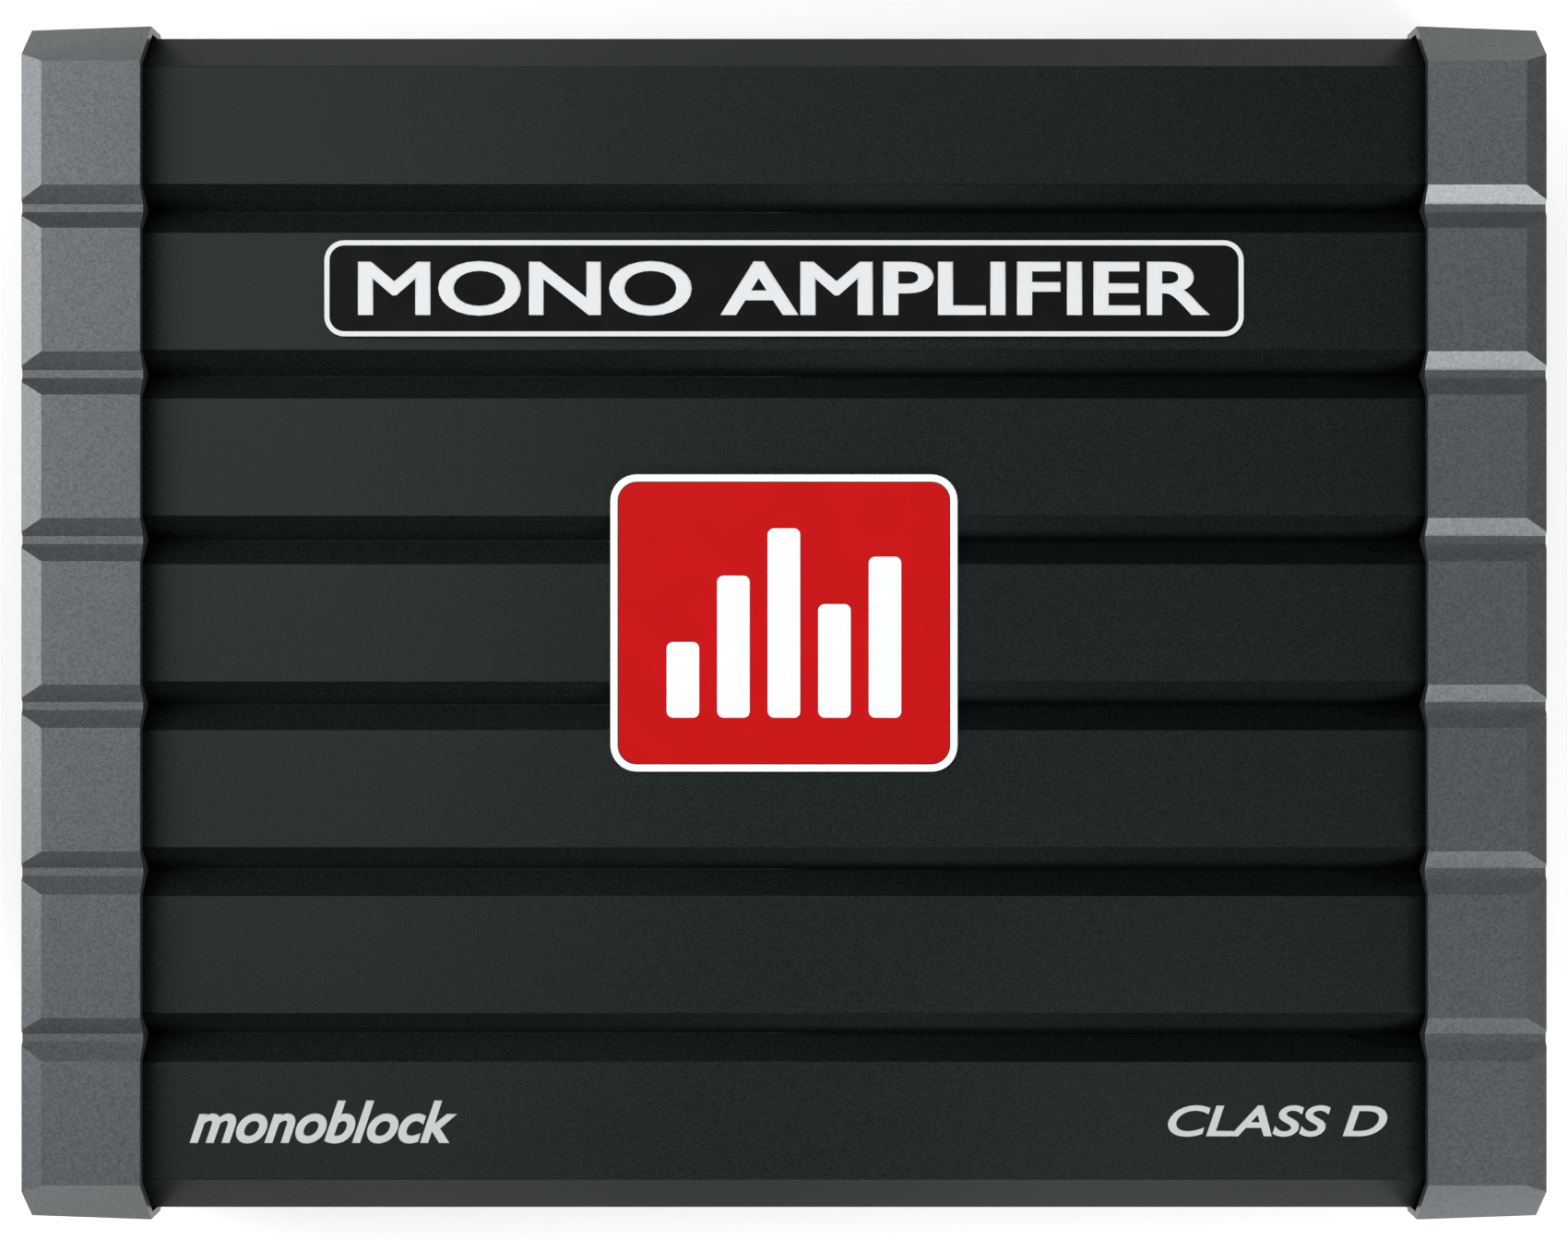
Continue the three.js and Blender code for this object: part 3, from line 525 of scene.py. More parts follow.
def texture_bump(tree, shader, place, grain, depth, detail=2.0):
    """Raises a fine grain of a real size on a surface. Returns the grain's value."""
    noise = add_node(tree, "ShaderNodeTexNoise", {"Vector": place, "Scale": 1 / grain, "Detail": detail})
    bump = add_node(tree, "ShaderNodeBump", {"Height": noise.outputs[0], "Distance": depth})
    tree.links.new(bump.outputs[0], shader.inputs["Normal"])
    return noise.outputs[0]


def spread_value(tree, value, socket, low, high, start=0.3, end=0.7):
    """Drives a shader value between two levels by a pattern."""
    levels = add_node(tree, "ShaderNodeMapRange", {
        "Value": value, "From Min": start, "From Max": end, "To Min": low, "To Max": high})
    tree.links.new(levels.outputs[0], socket)


def spread_colour(tree, value, socket, low, high, start=0.3, end=0.7):
    """Drives a shader colour between two colours by a pattern."""
    levels = add_node(tree, "ShaderNodeValToRGB", {"Fac": value})
    levels.color_ramp.elements[0].position = start
    levels.color_ramp.elements[0].color = (*low, 1)
    levels.color_ramp.elements[1].position = end
    levels.color_ramp.elements[1].color = (*high, 1)
    tree.links.new(levels.outputs[0], socket)


def shade(base, factor):
    """A colour made lighter or darker."""
    return [min(1, c * factor) for c in base]


def textured(
        name, base, roughness, metallic, grain, depth, gloss=None, tones=None, detail=2, drawn=1, **values):
    """A finish with one grain, its size and depth in mm, that drives its relief, its gloss and its tone.

    gloss: roughness of the smooth and of the rough spots. tones: factors on the base colour. drawn: under 1,
    the grain is drawn out along X. values: the shader's own values.
    """
    base = linear(base) if isinstance(base, str) else base
    material, tree, shader, place = start_finish(name, base, roughness, metallic)
    for socket, value in values.items():
        shader.inputs[socket.replace("_", " ")].default_value = value
    if drawn != 1:
        place = add_node(tree, "ShaderNodeMapping", {"Vector": place, "Scale": (drawn, 1, 1)}).outputs[0]
    pattern = texture_bump(tree, shader, place, grain * MM, depth * MM, detail)
    if gloss:
        spread_value(tree, pattern, shader.inputs["Roughness"], *gloss)
    if tones:
        spread_colour(tree, pattern, shader.inputs["Base Color"], *(shade(base, tone) for tone in tones))
    return material


def metallic_paint(base):
    """Grey metallic paint on a moulded cap: aluminium flake under a satin clear coat."""
    material, tree, shader, place = start_finish("metallic_paint", base, 0.46, 0.72)
    # The flakes are about 0.05 mm; they are drawn at 0.35 mm so that they show.
    flakes = add_node(tree, "ShaderNodeTexVoronoi", {"Vector": place, "Scale": 1 / (0.35 * MM)})
    tone = add_node(tree, "ShaderNodeSeparateColor", {"Color": flakes.outputs["Color"]})
    spread_colour(
        tree, tone.outputs[0], shader.inputs["Base Color"], shade(base, 0.76), shade(base, 1.26), 0, 1)
    texture_bump(tree, shader, place, 0.5 * MM, 0.012 * MM)
    shader.inputs["Coat Weight"].default_value = 0.45
    shader.inputs["Coat Roughness"].default_value = 0.2
    return material


def solder_mask():
    """Green solder mask over copper tracks: tracks show as lighter lanes."""
    base = linear("#155a30")
    material, tree, shader, place = start_finish("solder_mask", base, 0.35)
    lanes = add_node(tree, "ShaderNodeTexBrick", {
        "Vector": place, "Scale": 1 / (9 * MM), "Mortar Size": 0.05, "Color1": (0, 0, 0, 1),
        "Color2": (0.3, 0.3, 0.3, 1), "Mortar": (1, 1, 1, 1)})
    spread_colour(tree, lanes.outputs["Color"], shader.inputs["Base Color"], base, shade(base, 1.9), 0, 1)
    bump = add_node(tree, "ShaderNodeBump", {"Height": lanes.outputs["Color"], "Distance": 0.03 * MM})
    tree.links.new(bump.outputs[0], shader.inputs["Normal"])
    return material


def studio_paper():
    """The pale sheet that the case stands on, with painted shade: greyer away from the middle."""
    base = linear("#f2f2f1")
    material, tree, shader, place = start_finish("studio_paper", base, 0.8)
    texture_bump(tree, shader, place, 2 * MM, 0.02 * MM)
    # Painted shade: from 0.22 m out the sheet is painted darker, standing in for dim studio surroundings.
    away = add_node(tree, "ShaderNodeVectorMath", {0: place}, operation="LENGTH")
    spread_colour(tree, away.outputs["Value"], shader.inputs["Base Color"], base, shade(base, 0.55), 0.22, 0.4)
    return material


FINISHES = {}


def make_finishes(context):
    """Makes every finish once, under the name of the record's slot or of the piece it is for."""
    colours = context.scene.amplifier_colours

    def moulded(name, base, roughness=0.45):
        # Injection-moulded plastic from a spark-eroded tool: a fine matte texture.
        return textured(name, base, roughness, 0, 0.3, 0.015, (roughness - 0.05, roughness + 0.08))

    def printed(name, base):
        # Screen-printed ink: opaque and satin, with a faint mesh texture.
        return textured(name, base, 0.45, 0, 0.3, 0.006, tones=(0.94, 1))

    def tinted(name, base, clear):
        # Clear tinted moulding: light passes through it.
        return textured(
            name, base, 0.18, 0, 3, 0.02, (0.14, 0.24), detail=0, Transmission_Weight=clear, IOR=1.58)

    FINISHES.update(
        # Bead-blasted aluminium, black anodised: a matte metal with a fine even sparkle. The blast pits are
        # under 0.1 mm; they are drawn at 0.4 mm so that they show.
        black_anodised_aluminium=textured(
            "anodised_aluminium", colours.body, 0.56, 0.4, 0.4, 0.02, (0.5, 0.62), (0.4, 1.75),
            Specular_IOR_Level=0.2),
        grey_metallic_paint=metallic_paint(colours.cap),
        # Black powder coat on sheet steel: a fine orange-peel texture.
        black_coated_steel=textured("powder_coat", "#1d1f20", 0.5, 0, 0.7, 0.05, (0.42, 0.6)),
        # Bright zinc plate on steel: a slightly cloudy metal.
        zinc_plated_steel=textured("zinc_plate", "#c3c5c4", 0.3, 1, 1.5, 0.01, (0.22, 0.38)),
        # Glossy fired enamel: a deep even colour under a clear surface, with a faint waviness.
        red_enamel=textured(
            "enamel", colours.badge, 0.35, 0, 9, 0.04, tones=(0.97, 1.03), detail=0, Specular_IOR_Level=0.12,
            Coat_Weight=0.25, Coat_Roughness=0.08),
        # Polished nickel silver with fine brushing: the badge's rim and symbol.
        rim=textured("bright_rim", "#e8eaeb", 0.3, 0.35, 0.3, 0.006, (0.24, 0.36), drawn=0.06),
        # Black lacquer on a flat plate: smooth, with a faint waviness.
        gloss_black_plate=textured(
            "gloss_lacquer", colours.plate, 0.3, 0, 6, 0.02, (0.26, 0.34), detail=0, Specular_IOR_Level=0.1),
        white=printed("white_print", colours.white_print),
        silver=printed("silver_print", colours.silver_print),
        # Gold flash on turned brass: bright, with faint turning marks.
        gold_plated_brass=textured("gold_plate", "#e2b659", 0.22, 1, 0.6, 0.006, (0.16, 0.3)),
        # Sawn aluminium bar: brushed along its length.
        bare_aluminium=textured("bare_aluminium", "#bfc1c3", 0.35, 1, 0.3, 0.02, (0.28, 0.45), drawn=0.05),
        # Black oxide on steel: a dark, even, satin metal.
        black_oxide=start_finish("black_oxide", linear("#1a1b1c"), 0.4, 0.7)[0],
        board_laminate=solder_mask(),
        # Copper winding wire under clear enamel.
        copper_winding=textured("enamelled_copper", "#b0602c", 0.28, 0.9, 4, 0.01, tones=(0.75, 1.2)),
        # PVC shrink sleeve on a capacitor: smooth, drawn tight over the can.
        capacitor_sleeve=textured("shrink_sleeve", "#1d2130", 0.3, 0, 5, 0.05, (0.25, 0.38)),
        black_plastic=moulded("moulded_plastic", colours.plastic),
        red_plastic=moulded("red_plastic", "#a81b1e", 0.35),
        white_plastic=moulded("white_plastic", "#dcdcd6", 0.35),
        core=moulded("core_tape", "#c9a24a", 0.5),
        fuse_amber=tinted("fuse_amber", colours.fuse, 0.35),
        led_blue=tinted("led_blue", "#3f7cf2", 0.4),
        led_red=tinted("led_red", "#d8302a", 0.4),
    )


# ---- Stage ----

CAMERA_HEIGHT = 0.5      # above the case's top
VIEW_WIDTH = 0.297       # what the camera sees across, at the case's top
VIEW_OFFSET = 0.00056    # how far the camera stands towards the back
SENSOR = 36


def aim(thing, target):
    """Points a lamp at a place."""
    thing.rotation_euler = (Vector(target) - thing.location).to_track_quat("-Z", "Y").to_euler()


def soft_light(name, location, target, size, power):
    """A rectangular soft light."""
    lamp = bpy.data.lights.new(name, "AREA")
    lamp.shape = "RECTANGLE"
    lamp.size, lamp.size_y = size
    lamp.energy = power
    thing = linked(name, lamp)
    thing.location = location
    aim(thing, target)


def make_camera():
    lens = bpy.data.cameras.new("camera")
    lens.sensor_width = SENSOR
    lens.lens = SENSOR * CAMERA_HEIGHT / VIEW_WIDTH
    camera = linked("camera", lens)
    camera.location = (0, VIEW_OFFSET, CAD_BOX[1][2] + CAMERA_HEIGHT)
    bpy.context.scene.camera = camera


def make_lights():
    top = (0, 0, CAD_BOX[1][2])
    soft_light("key", (-1.2, 0.25, 1.05), top, (1.0, 1.5), 25)
    soft_light("front_box", (0.62, -0.98, 0.74), top, (1.1, 0.4), 20)
    soft_light("back_high", (0.1, 1.0, 1.4), top, (1.6, 0.8), 13)
    world = bpy.data.worlds.new("studio")
    world.use_nodes = True
    world.node_tree.nodes["Background"].inputs["Color"].default_value = (1, 1, 1, 1)
    world.node_tree.nodes["Background"].inputs["Strength"].default_value = 0.3
    bpy.context.scene.world = world
    bpy.context.scene.view_settings.view_transform = "Standard"


def make_floor():
    sheet = 1.6
    floor = block("floor", (-sheet, -sheet, -0.02), (sheet, sheet, 0))
    floor.data.materials.append(studio_paper())


class AMPLIFIER_OT_stage(bpy.types.Operator):
    """Sets the camera, the lights, the floor and the finishes"""

    bl_idname = "amplifier.stage"
    bl_label = "Stage"

    def execute(self, context):
        make_camera()
        make_lights()
        make_floor()
        make_finishes(context)
        for entry in frame["record"]["subparts"]:
            mesh = frame["nodes"][entry["node"]].data
            mesh.materials.clear()
            mesh.materials.append(FINISHES[entry["material_slot"]])
        return {"FINISHED"}


# ---- Case ----

def heatsink_outline(sizes):
    """The extrusion's closed outline in (Y, Z), out over the grooved top and back round the inside."""
    low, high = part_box("heatsink_shell")
    half, top, bottom = high.y, high.z, low.z
    side = [
        (half, bottom),
        (half, sizes.side_groove_height - sizes.groove_half),
        (half - sizes.groove_depth, sizes.side_groove_height),
        (half, sizes.side_groove_height + sizes.groove_half),
        (half, top - sizes.chamfer_drop),
        (half - sizes.chamfer_run, top),
    ]
    grooves = []
    for n in range(sizes.groove_count):
        centre = ((sizes.groove_count - 1) / 2 - n) * sizes.groove_pitch
        grooves += [
            (centre + sizes.groove_half, top),
            (centre, top - sizes.groove_depth),
            (centre - sizes.groove_half, top),
        ]
    wall, ceiling = half - sizes.wall, top - sizes.roof
    board_low, board_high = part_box("main_circuit_board")
    slot, gap = board_high.y + 0.5 * MM, 0.3 * MM
    inside = [
        (wall, ceiling),
        (wall, board_high.z + gap),
        (slot, board_high.z + gap),
        (slot, board_low.z - gap),
        (wall, board_low.z - gap),
        (wall, bottom),
    ]
    left = [(-y, z) for y, z in reversed(side)]
    inside_left = [(-y, z) for y, z in reversed(inside)]
    return side + grooves + left + inside_left + inside


class AMPLIFIER_OT_heatsink(bpy.types.Operator):
    """Runs the heatsink's grooved section along the case"""

    bl_idname = "amplifier.heatsink"
    bl_label = "Heatsink"

    def execute(self, context):
        sizes = context.scene.amplifier_sizes
        low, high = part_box("heatsink_shell")
        outline = heatsink_outline(sizes)
        mesh = bpy.data.meshes.new("heatsink_extrusion")
        edges = [(i, (i + 1) % len(outline)) for i in range(len(outline))]
        # A section that is swept along +X lies turned by half a turn.
        mesh.from_pydata([(-y, -z, 0) for y, z in outline], edges, [])
        tree = extrusion_tree(FINISHES["black_anodised_aluminium"])
        piece = grown(
            linked("heatsink_extrusion", mesh), tree, Length=high.x - low.x, Edge_Radius=sizes.edge_radius,
            Edge_Steps=3)
        settle(weighted(piece), "black_anodised_aluminium", "heatsink_shell")
        return {"FINISHED"}


class AMPLIFIER_OT_end_caps(bpy.types.Operator):
    """Rounds the edges of the two moulded end caps, and makes their screws"""

    bl_idname = "amplifier.end_caps"
    bl_label = "End Caps"

    def execute(self, context):
        sizes = context.scene.amplifier_sizes
        for end in ("signal", "power"):
            kept_form(f"{end}_end_cap", f"{end}_cap_moulding", "grey_metallic_paint", sizes.cap_edge, angle=12)
            for side in ("a", "b"):
                kept_form(f"{end}_cap_screw_{side}", f"{end}_cap_fixing_{side}", "black_oxide", 0.15 * MM,
                          slot="black_coated_steel")
        return {"FINISHED"}


def crossed(piece, arm, web, low, high):
    """Cuts a cross down into the top of a turned piece."""
    return cut(
        piece,
        block("cross_a", (-arm, -web, low), (arm, web, high)),
        block("cross_b", (-web, -arm, low), (web, arm, high)))


def pan_head(name, radius, height):
    """A pan-head screw's head with a cross recess, standing on Z = 0."""
    dome = [(radius * math.cos(a), height * (0.35 + 0.65 * math.sin(a))) for a in
            [math.radians(d) for d in (0, 22, 45, 65, 80)]]
    head = turned(name, [(0, 0), (radius, 0), *dome, (0, height)], 32)
    return crossed(head, 0.55 * radius, 0.14 * radius, 0.45 * height, 2 * height)


def screw_row(name, points, turn, radius):
    """Zinc-plated screws on a list of points, all facing one way."""
    head = pan_head("screw_head", radius, 0.6 * radius)
    head.data.shade_smooth()
    head.data.set_sharp_from_angle(angle=math.radians(40))
    tree = scattered_tree("Screw Row", FINISHES["zinc_plated_steel"])
    row = grown(point_set(name, points), tree, Piece=head, Turn=turn, Scale=1.0)
    bpy.data.objects.remove(head)
    settle(row, "zinc_plated_steel")


COVER_SCREW_PLACES = [x * MM for x in (-105, -35, 35, 105)]
COVER_SCREW_ACROSS = 107.4 * MM
COVER_SCREW_HEIGHT = 1.2 * MM


class AMPLIFIER_OT_base_plate(bpy.types.Operator):
    """Makes the bottom plate and the row of screws along each side of it"""

    bl_idname = "amplifier.base_plate"
    bl_label = "Base Plate"

    def execute(self, context):
        kept_form("base_plate", "bottom_cover", "black_coated_steel", 0.2 * MM)
        spots = [
            (x, side * COVER_SCREW_ACROSS, COVER_SCREW_HEIGHT) for side in (-1, 1) for x in COVER_SCREW_PLACES]
        screw_row("bottom_cover_screws", spots, (math.pi, 0, 0), 1.65 * MM)
        return {"FINISHED"}


# ---- Plates and prints on the top ----

class AMPLIFIER_OT_name_plate(bpy.types.Operator):
    """Makes the long name plate with its line and its words"""

    bl_idname = "amplifier.name_plate"
    bl_label = "Name Plate"

    def execute(self, context):
        sizes = context.scene.amplifier_sizes
        low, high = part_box("name_plate")
        wide, tall, radius = high.x - low.x, high.y - low.y, 3.9 * MM
        along, ink = middle("name_plate").y, sizes.print_height
        board = plate("name_plate_blank", rounded_rectangle(wide, tall, radius), low.z, high.z - ink, 0.15 * MM)
        settle(shifted(board, 0, along), "gloss_black_plate", "name_plate")
        inset, line = 0.12 * MM, sizes.plate_line
        outer = rounded_rectangle(wide - 2 * inset, tall - 2 * inset, radius - inset)
        inner = rounded_rectangle(
            wide - 2 * (inset + line), tall - 2 * (inset + line), radius - inset - line)
        ring = plate("name_plate_line", outer, high.z - ink, high.z, hole=inner)
        settle(shifted(ring, 0, along), "white", slot="gloss_black_plate")
        words = lettering(
            "name_plate_words", context.scene.amplifier_words.plate, 10.4 * MM, ink, 162 * MM, bold=0.022)
        settle(shifted(words, 0, along, high.z - ink / 2), "white", slot="gloss_black_plate")
        return {"FINISHED"}


def level_bars(low, high):
    """The badge's generic symbol: five upright bars of rising and falling height."""
    bars = []
    pitch, width = 9.6 * MM, 6.2 * MM
    for n, share in enumerate((0.4, 0.75, 1.0, 0.6, 0.85)):
        tall = 36 * MM * share
        outline = rounded_rectangle(width, tall, 1.2 * MM, 5)
        bar = plate(f"bar_{n}", outline, low, high, 0.12 * MM)
        bars.append(shifted(bar, (n - 2) * pitch, tall / 2 - 18 * MM))
    return joined("badge_symbol", *bars)


class AMPLIFIER_OT_badge(bpy.types.Operator):
    """Makes the centre badge: a bright rim, a red enamel field and a generic symbol"""

    bl_idname = "amplifier.badge"
    bl_label = "Badge"

    def execute(self, context):
        sizes = context.scene.amplifier_sizes
        low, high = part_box("centre_badge")
        wide, tall, radius = high.x - low.x, high.y - low.y, 5 * MM
        floor = high.z - 0.25 * MM
        rim_inner = radius - sizes.badge_rim
        outer = rounded_rectangle(wide, tall, radius)
        inner = rounded_rectangle(wide - 2 * sizes.badge_rim, tall - 2 * sizes.badge_rim, rim_inner)
        rim = plate("badge_rim", outer, low.z, high.z, 0.2 * MM, hole=inner)
        settle(rim, "rim", slot="red_enamel")
        gap = 0.12 * MM
        field_outline = rounded_rectangle(
            wide - 2 * sizes.badge_rim - 2 * gap, tall - 2 * sizes.badge_rim - 2 * gap, rim_inner - gap)
        field = plate("badge_enamel", field_outline, low.z, floor, 0.12 * MM)
        settle(field, "red_enamel", "centre_badge")
        symbol = level_bars(floor - 0.05 * MM, high.z - 0.02 * MM)
        settle(symbol, "rim", slot="red_enamel")
        return {"FINISHED"}


class AMPLIFIER_OT_prints(bpy.types.Operator):
    """Prints the two words near the front corners"""

    bl_idname = "amplifier.prints"
    bl_label = "Corner Prints"

    def execute(self, context):
        words = context.scene.amplifier_words
        ink = context.scene.amplifier_sizes.print_height
        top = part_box("heatsink_shell")[1].z + ink / 2
        slot = "black_anodised_aluminium"
        left = lettering("left_print", words.left, 8.2 * MM, ink, 51 * MM, bold=0.026, slant=0.35)
        settle(shifted(left, -87.7 * MM, -95 * MM, top), "silver", slot=slot)
        right = lettering("right_print", words.right, 6.0 * MM, ink, 41.8 * MM, bold=0.02, slant=0.25)
        settle(shifted(right, 94 * MM, -94.8 * MM, top), "silver", slot=slot)
        return {"FINISHED"}


# ---- Ends ----

def end_label(end, name, words, across, up, out, height=2.0 * MM):
    """A small white label printed at a place of an end, given in that end's own frame."""
    ink = 0.06 * MM
    label = lettering(name, words, height, ink, bold=0.01)
    settle(placed(label, at_end(end, across, up, out + ink / 2)), "white", slot="black_coated_steel")


def across_of(end, node):
    """Where a node lies across its end, to the viewer's right."""
    return middle(node).y if end == "power" else -middle(node).y


def panel_face(end):
    """How far out an end panel's outer face is."""
    low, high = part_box(f"{end}_end_panel")
    return max(abs(low.x), abs(high.x))


def end_panel(end, screw_spots):
    """An end panel with rounded edges and its screws."""
    kept_form(f"{end}_end_panel", f"{end}_panel_sheet", "black_coated_steel", 0.15 * MM)
    points = [at_end(end, across * MM, up * MM, panel_face(end)).translation for across, up in screw_spots]
    turn = (0, math.pi / 2 if end == "power" else -math.pi / 2, 0)
    screw_row(f"{end}_panel_screws", points, turn, 2.2 * MM)


CONTROLS = {"level": "LEVEL", "low_pass": "LOW PASS", "subsonic": "SUBSONIC", "bass_boost": "BASS"}


class AMPLIFIER_OT_signal_panel(bpy.types.Operator):
    """Makes the signal end's panel with its screws and labels"""

    bl_idname = "amplifier.signal_panel"
    bl_label = "Signal Panel"

    def execute(self, context):
        end = "signal"
        end_panel(end, [(-98, 36), (-98, 12), (98, 36), (98, 12)])
        face = panel_face(end)
        for name, words in CONTROLS.items():
            end_label(end, f"label_{name}", words, across_of(end, f"knob_{name}"), 37.5 * MM, face, 1.8 * MM)
        for name, words, node, up in (
                ("phase", "PHASE 0 - 180", "phase_switch_body", 34),
                ("jack", "REMOTE LEVEL", "remote_level_jack", 29),
                ("on", "ON", "power_indicator", 32),
                ("protect", "PROTECT", "protect_indicator", 32)):
            end_label(end, f"label_{name}", words, across_of(end, node), up * MM, face, 1.6 * MM)
        return {"FINISHED"}


class AMPLIFIER_OT_sockets(bpy.types.Operator):
    """Makes the phono sockets and the block that holds them"""

    bl_idname = "amplifier.sockets"
    bl_label = "Phono Sockets"

    def execute(self, context):
        end = "signal"
        kept_form("rca_jack_block", "phono_block", "black_plastic", 0.5 * MM)
        for use in ("input", "output"):
            for channel, ring in (("right", "red_plastic"), ("left", "white_plastic")):
                self.socket(end, f"rca_{use}_{channel}", ring)
            block_face = -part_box("rca_jack_block")[0].x
            across = across_of(end, f"rca_{use}_left")
            words = "IN" if use == "input" else "OUT"
            end_label(end, f"label_{use}", words, across, 26.6 * MM, block_face, 1.8 * MM)
        return {"FINISHED"}

    def socket(self, end, node, ring):
        """One socket: a coloured collar, a gold barrel, an insulator and a centre contact."""
        low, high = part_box(node)
        centre = middle(node)
        deep = high.x - low.x
        place = at_end(end, -centre.y, centre.z, -high.x)
        collar_r, barrel_r, wall = (high.z - low.z) / 2, 4.15 * MM, 0.5 * MM
        edge = 0.15 * MM
        collar = turned(f"{node}_collar", [
            (barrel_r, 0), (collar_r - edge, 0), (collar_r, edge), (collar_r, 1.2 * MM - edge),
            (collar_r - edge, 1.2 * MM), (barrel_r, 1.2 * MM)])
        settle(placed(rounded(collar, 0.08 * MM), place), ring, slot="black_plastic")
        inner = barrel_r - wall
        grip = [1.9 * MM + 0.45 * MM * n for n in range(5)]
        rings = []
        for height in grip:
            rings += [
                (barrel_r, height), (barrel_r - 0.09 * MM, height + 0.1 * MM), (barrel_r, height + 0.2 * MM)]
        barrel = turned(f"{node}_barrel", [
            (inner, 0), (barrel_r, 0), *rings, (barrel_r, deep - 0.3 * MM), (barrel_r - 0.25 * MM, deep),
            (inner + 0.1 * MM, deep), (inner, deep - 0.1 * MM)])
        settle(placed(rounded(barrel, 0.04 * MM, angle=50), place), "gold_plated_brass", node)
        insulator = turned(f"{node}_insulator", [
            (1.95 * MM, 0), (inner - 0.02 * MM, 0), (inner - 0.02 * MM, deep - 1.3 * MM),
            (inner - 0.4 * MM, deep - 1.1 * MM), (1.95 * MM, deep - 1.1 * MM)])
        settle(placed(rounded(insulator, 0.06 * MM), place), ring, slot="black_plastic")
        contact = turned(f"{node}_contact", [
            (1.6 * MM, 0.4 * MM), (1.93 * MM, 0.4 * MM), (1.93 * MM, deep - 1.0 * MM),
            (1.6 * MM, deep - 0.9 * MM)])
        settle(placed(rounded(contact, 0.05 * MM), place), "gold_plated_brass")


class AMPLIFIER_OT_controls(bpy.types.Operator):
    """Makes the four ribbed knobs, the marks round them and the potentiometers behind"""

    bl_idname = "amplifier.controls"
    bl_label = "Controls"

    def execute(self, context):
        end = "signal"
        ribs, dial = ribbed_tree(FINISHES["black_plastic"]), dial_tree(FINISHES["white"])
        grip, rib = 4.7 * MM, 0.3 * MM
        back, front = 134.7 * MM, -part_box("knob_level")[0].x
        deep = front - back
        for name in CONTROLS:
            place = at_end(end, across_of(end, f"knob_{name}"), middle(f"knob_{name}").z, 0)
            core = turned(f"{name}_grip", [
                (0, 126 * MM), (2.9 * MM, 126 * MM), (2.9 * MM, back), (grip - 0.2 * MM, back),
                (grip, back + 0.2 * MM), (grip, front - 0.6 * MM), (grip - 0.5 * MM, front),
                (3.6 * MM, front), (3.4 * MM, front - 0.25 * MM), (0, front - 0.25 * MM)])
            core = rounded(core, 0.08 * MM)
            middle_height = (back + front) / 2
            knob = grown(shifted(core, 0, 0, -middle_height), ribs, Ribs=24, Grip_Radius=grip,
                         Rib_Radius=rib, Rib_Length=deep - 1.4 * MM)
            knob = shifted(knob, 0, 0, middle_height)
            body = f"{name}_knob"
            settle(placed(knob, place), None, f"knob_{name}", slot="black_plastic", body=body)
            line = block(f"{name}_pointer", (-0.35 * MM, 0.6 * MM, front - 0.3 * MM),
                         (0.35 * MM, grip - 0.15 * MM, front - 0.02 * MM), 0.05 * MM)
            settle(placed(line, place), "white", slot="black_plastic", body=body)
            marks = grown(point_set(f"{name}_dial", []), dial, Marks=11, Dial_Radius=6.6 * MM,
                          Mark_Size=(0.9 * MM, 0.3 * MM, 0.06 * MM))
            marks = placed(marks, place @ Matrix.Translation((0, 0, panel_face(end) + 0.03 * MM)))
            settle(marks, None, slot="black_coated_steel")
            kept_form(f"potentiometer_{name}", f"{name}_control_body", "black_plastic", 0.2 * MM)
        return {"FINISHED"}


class AMPLIFIER_OT_switch_and_jack(bpy.types.Operator):
    """Makes the phase switch and the jack for a wired level control"""

    bl_idname = "amplifier.switch_and_jack"
    bl_label = "Switch and Jack"

    def execute(self, context):
        kept_form("phase_switch_body", "phase_switch_can", "zinc_plated_steel", 0.15 * MM)
        low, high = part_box("phase_switch_slider")
        ridges = [block("ridge_base", low, (high.x, high.y, high.z), 0.2 * MM)]
        for n in range(3):
            across = low.y + (high.y - low.y) * (n + 1) / 4
            ridges.append(block(
                f"ridge_{n}", (low.x - 0.25 * MM, across - 0.2 * MM, low.z + 0.2 * MM),
                (low.x + 0.2 * MM, across + 0.2 * MM, high.z - 0.2 * MM), 0.08 * MM))
        slider = joined("phase_slider_button", *ridges)
        settle(slider, "white_plastic", "phase_switch_slider", slot="black_plastic", body="phase_slider")
        kept_form("remote_level_jack", "level_jack_housing", "black_plastic", 0.25 * MM)
        centre = middle("remote_level_jack").y
        wires = []
        for n in range(6):
            across = centre + (n - 2.5) * 1.02 * MM
            wires.append(block(f"wire_{n}", (-134 * MM, across - 0.15 * MM, 14.5 * MM),
                               (-124.2 * MM, across + 0.15 * MM, 14.9 * MM), 0.05 * MM))
        settle(joined("level_jack_contacts", *wires), "gold_plated_brass")
        return {"FINISHED"}


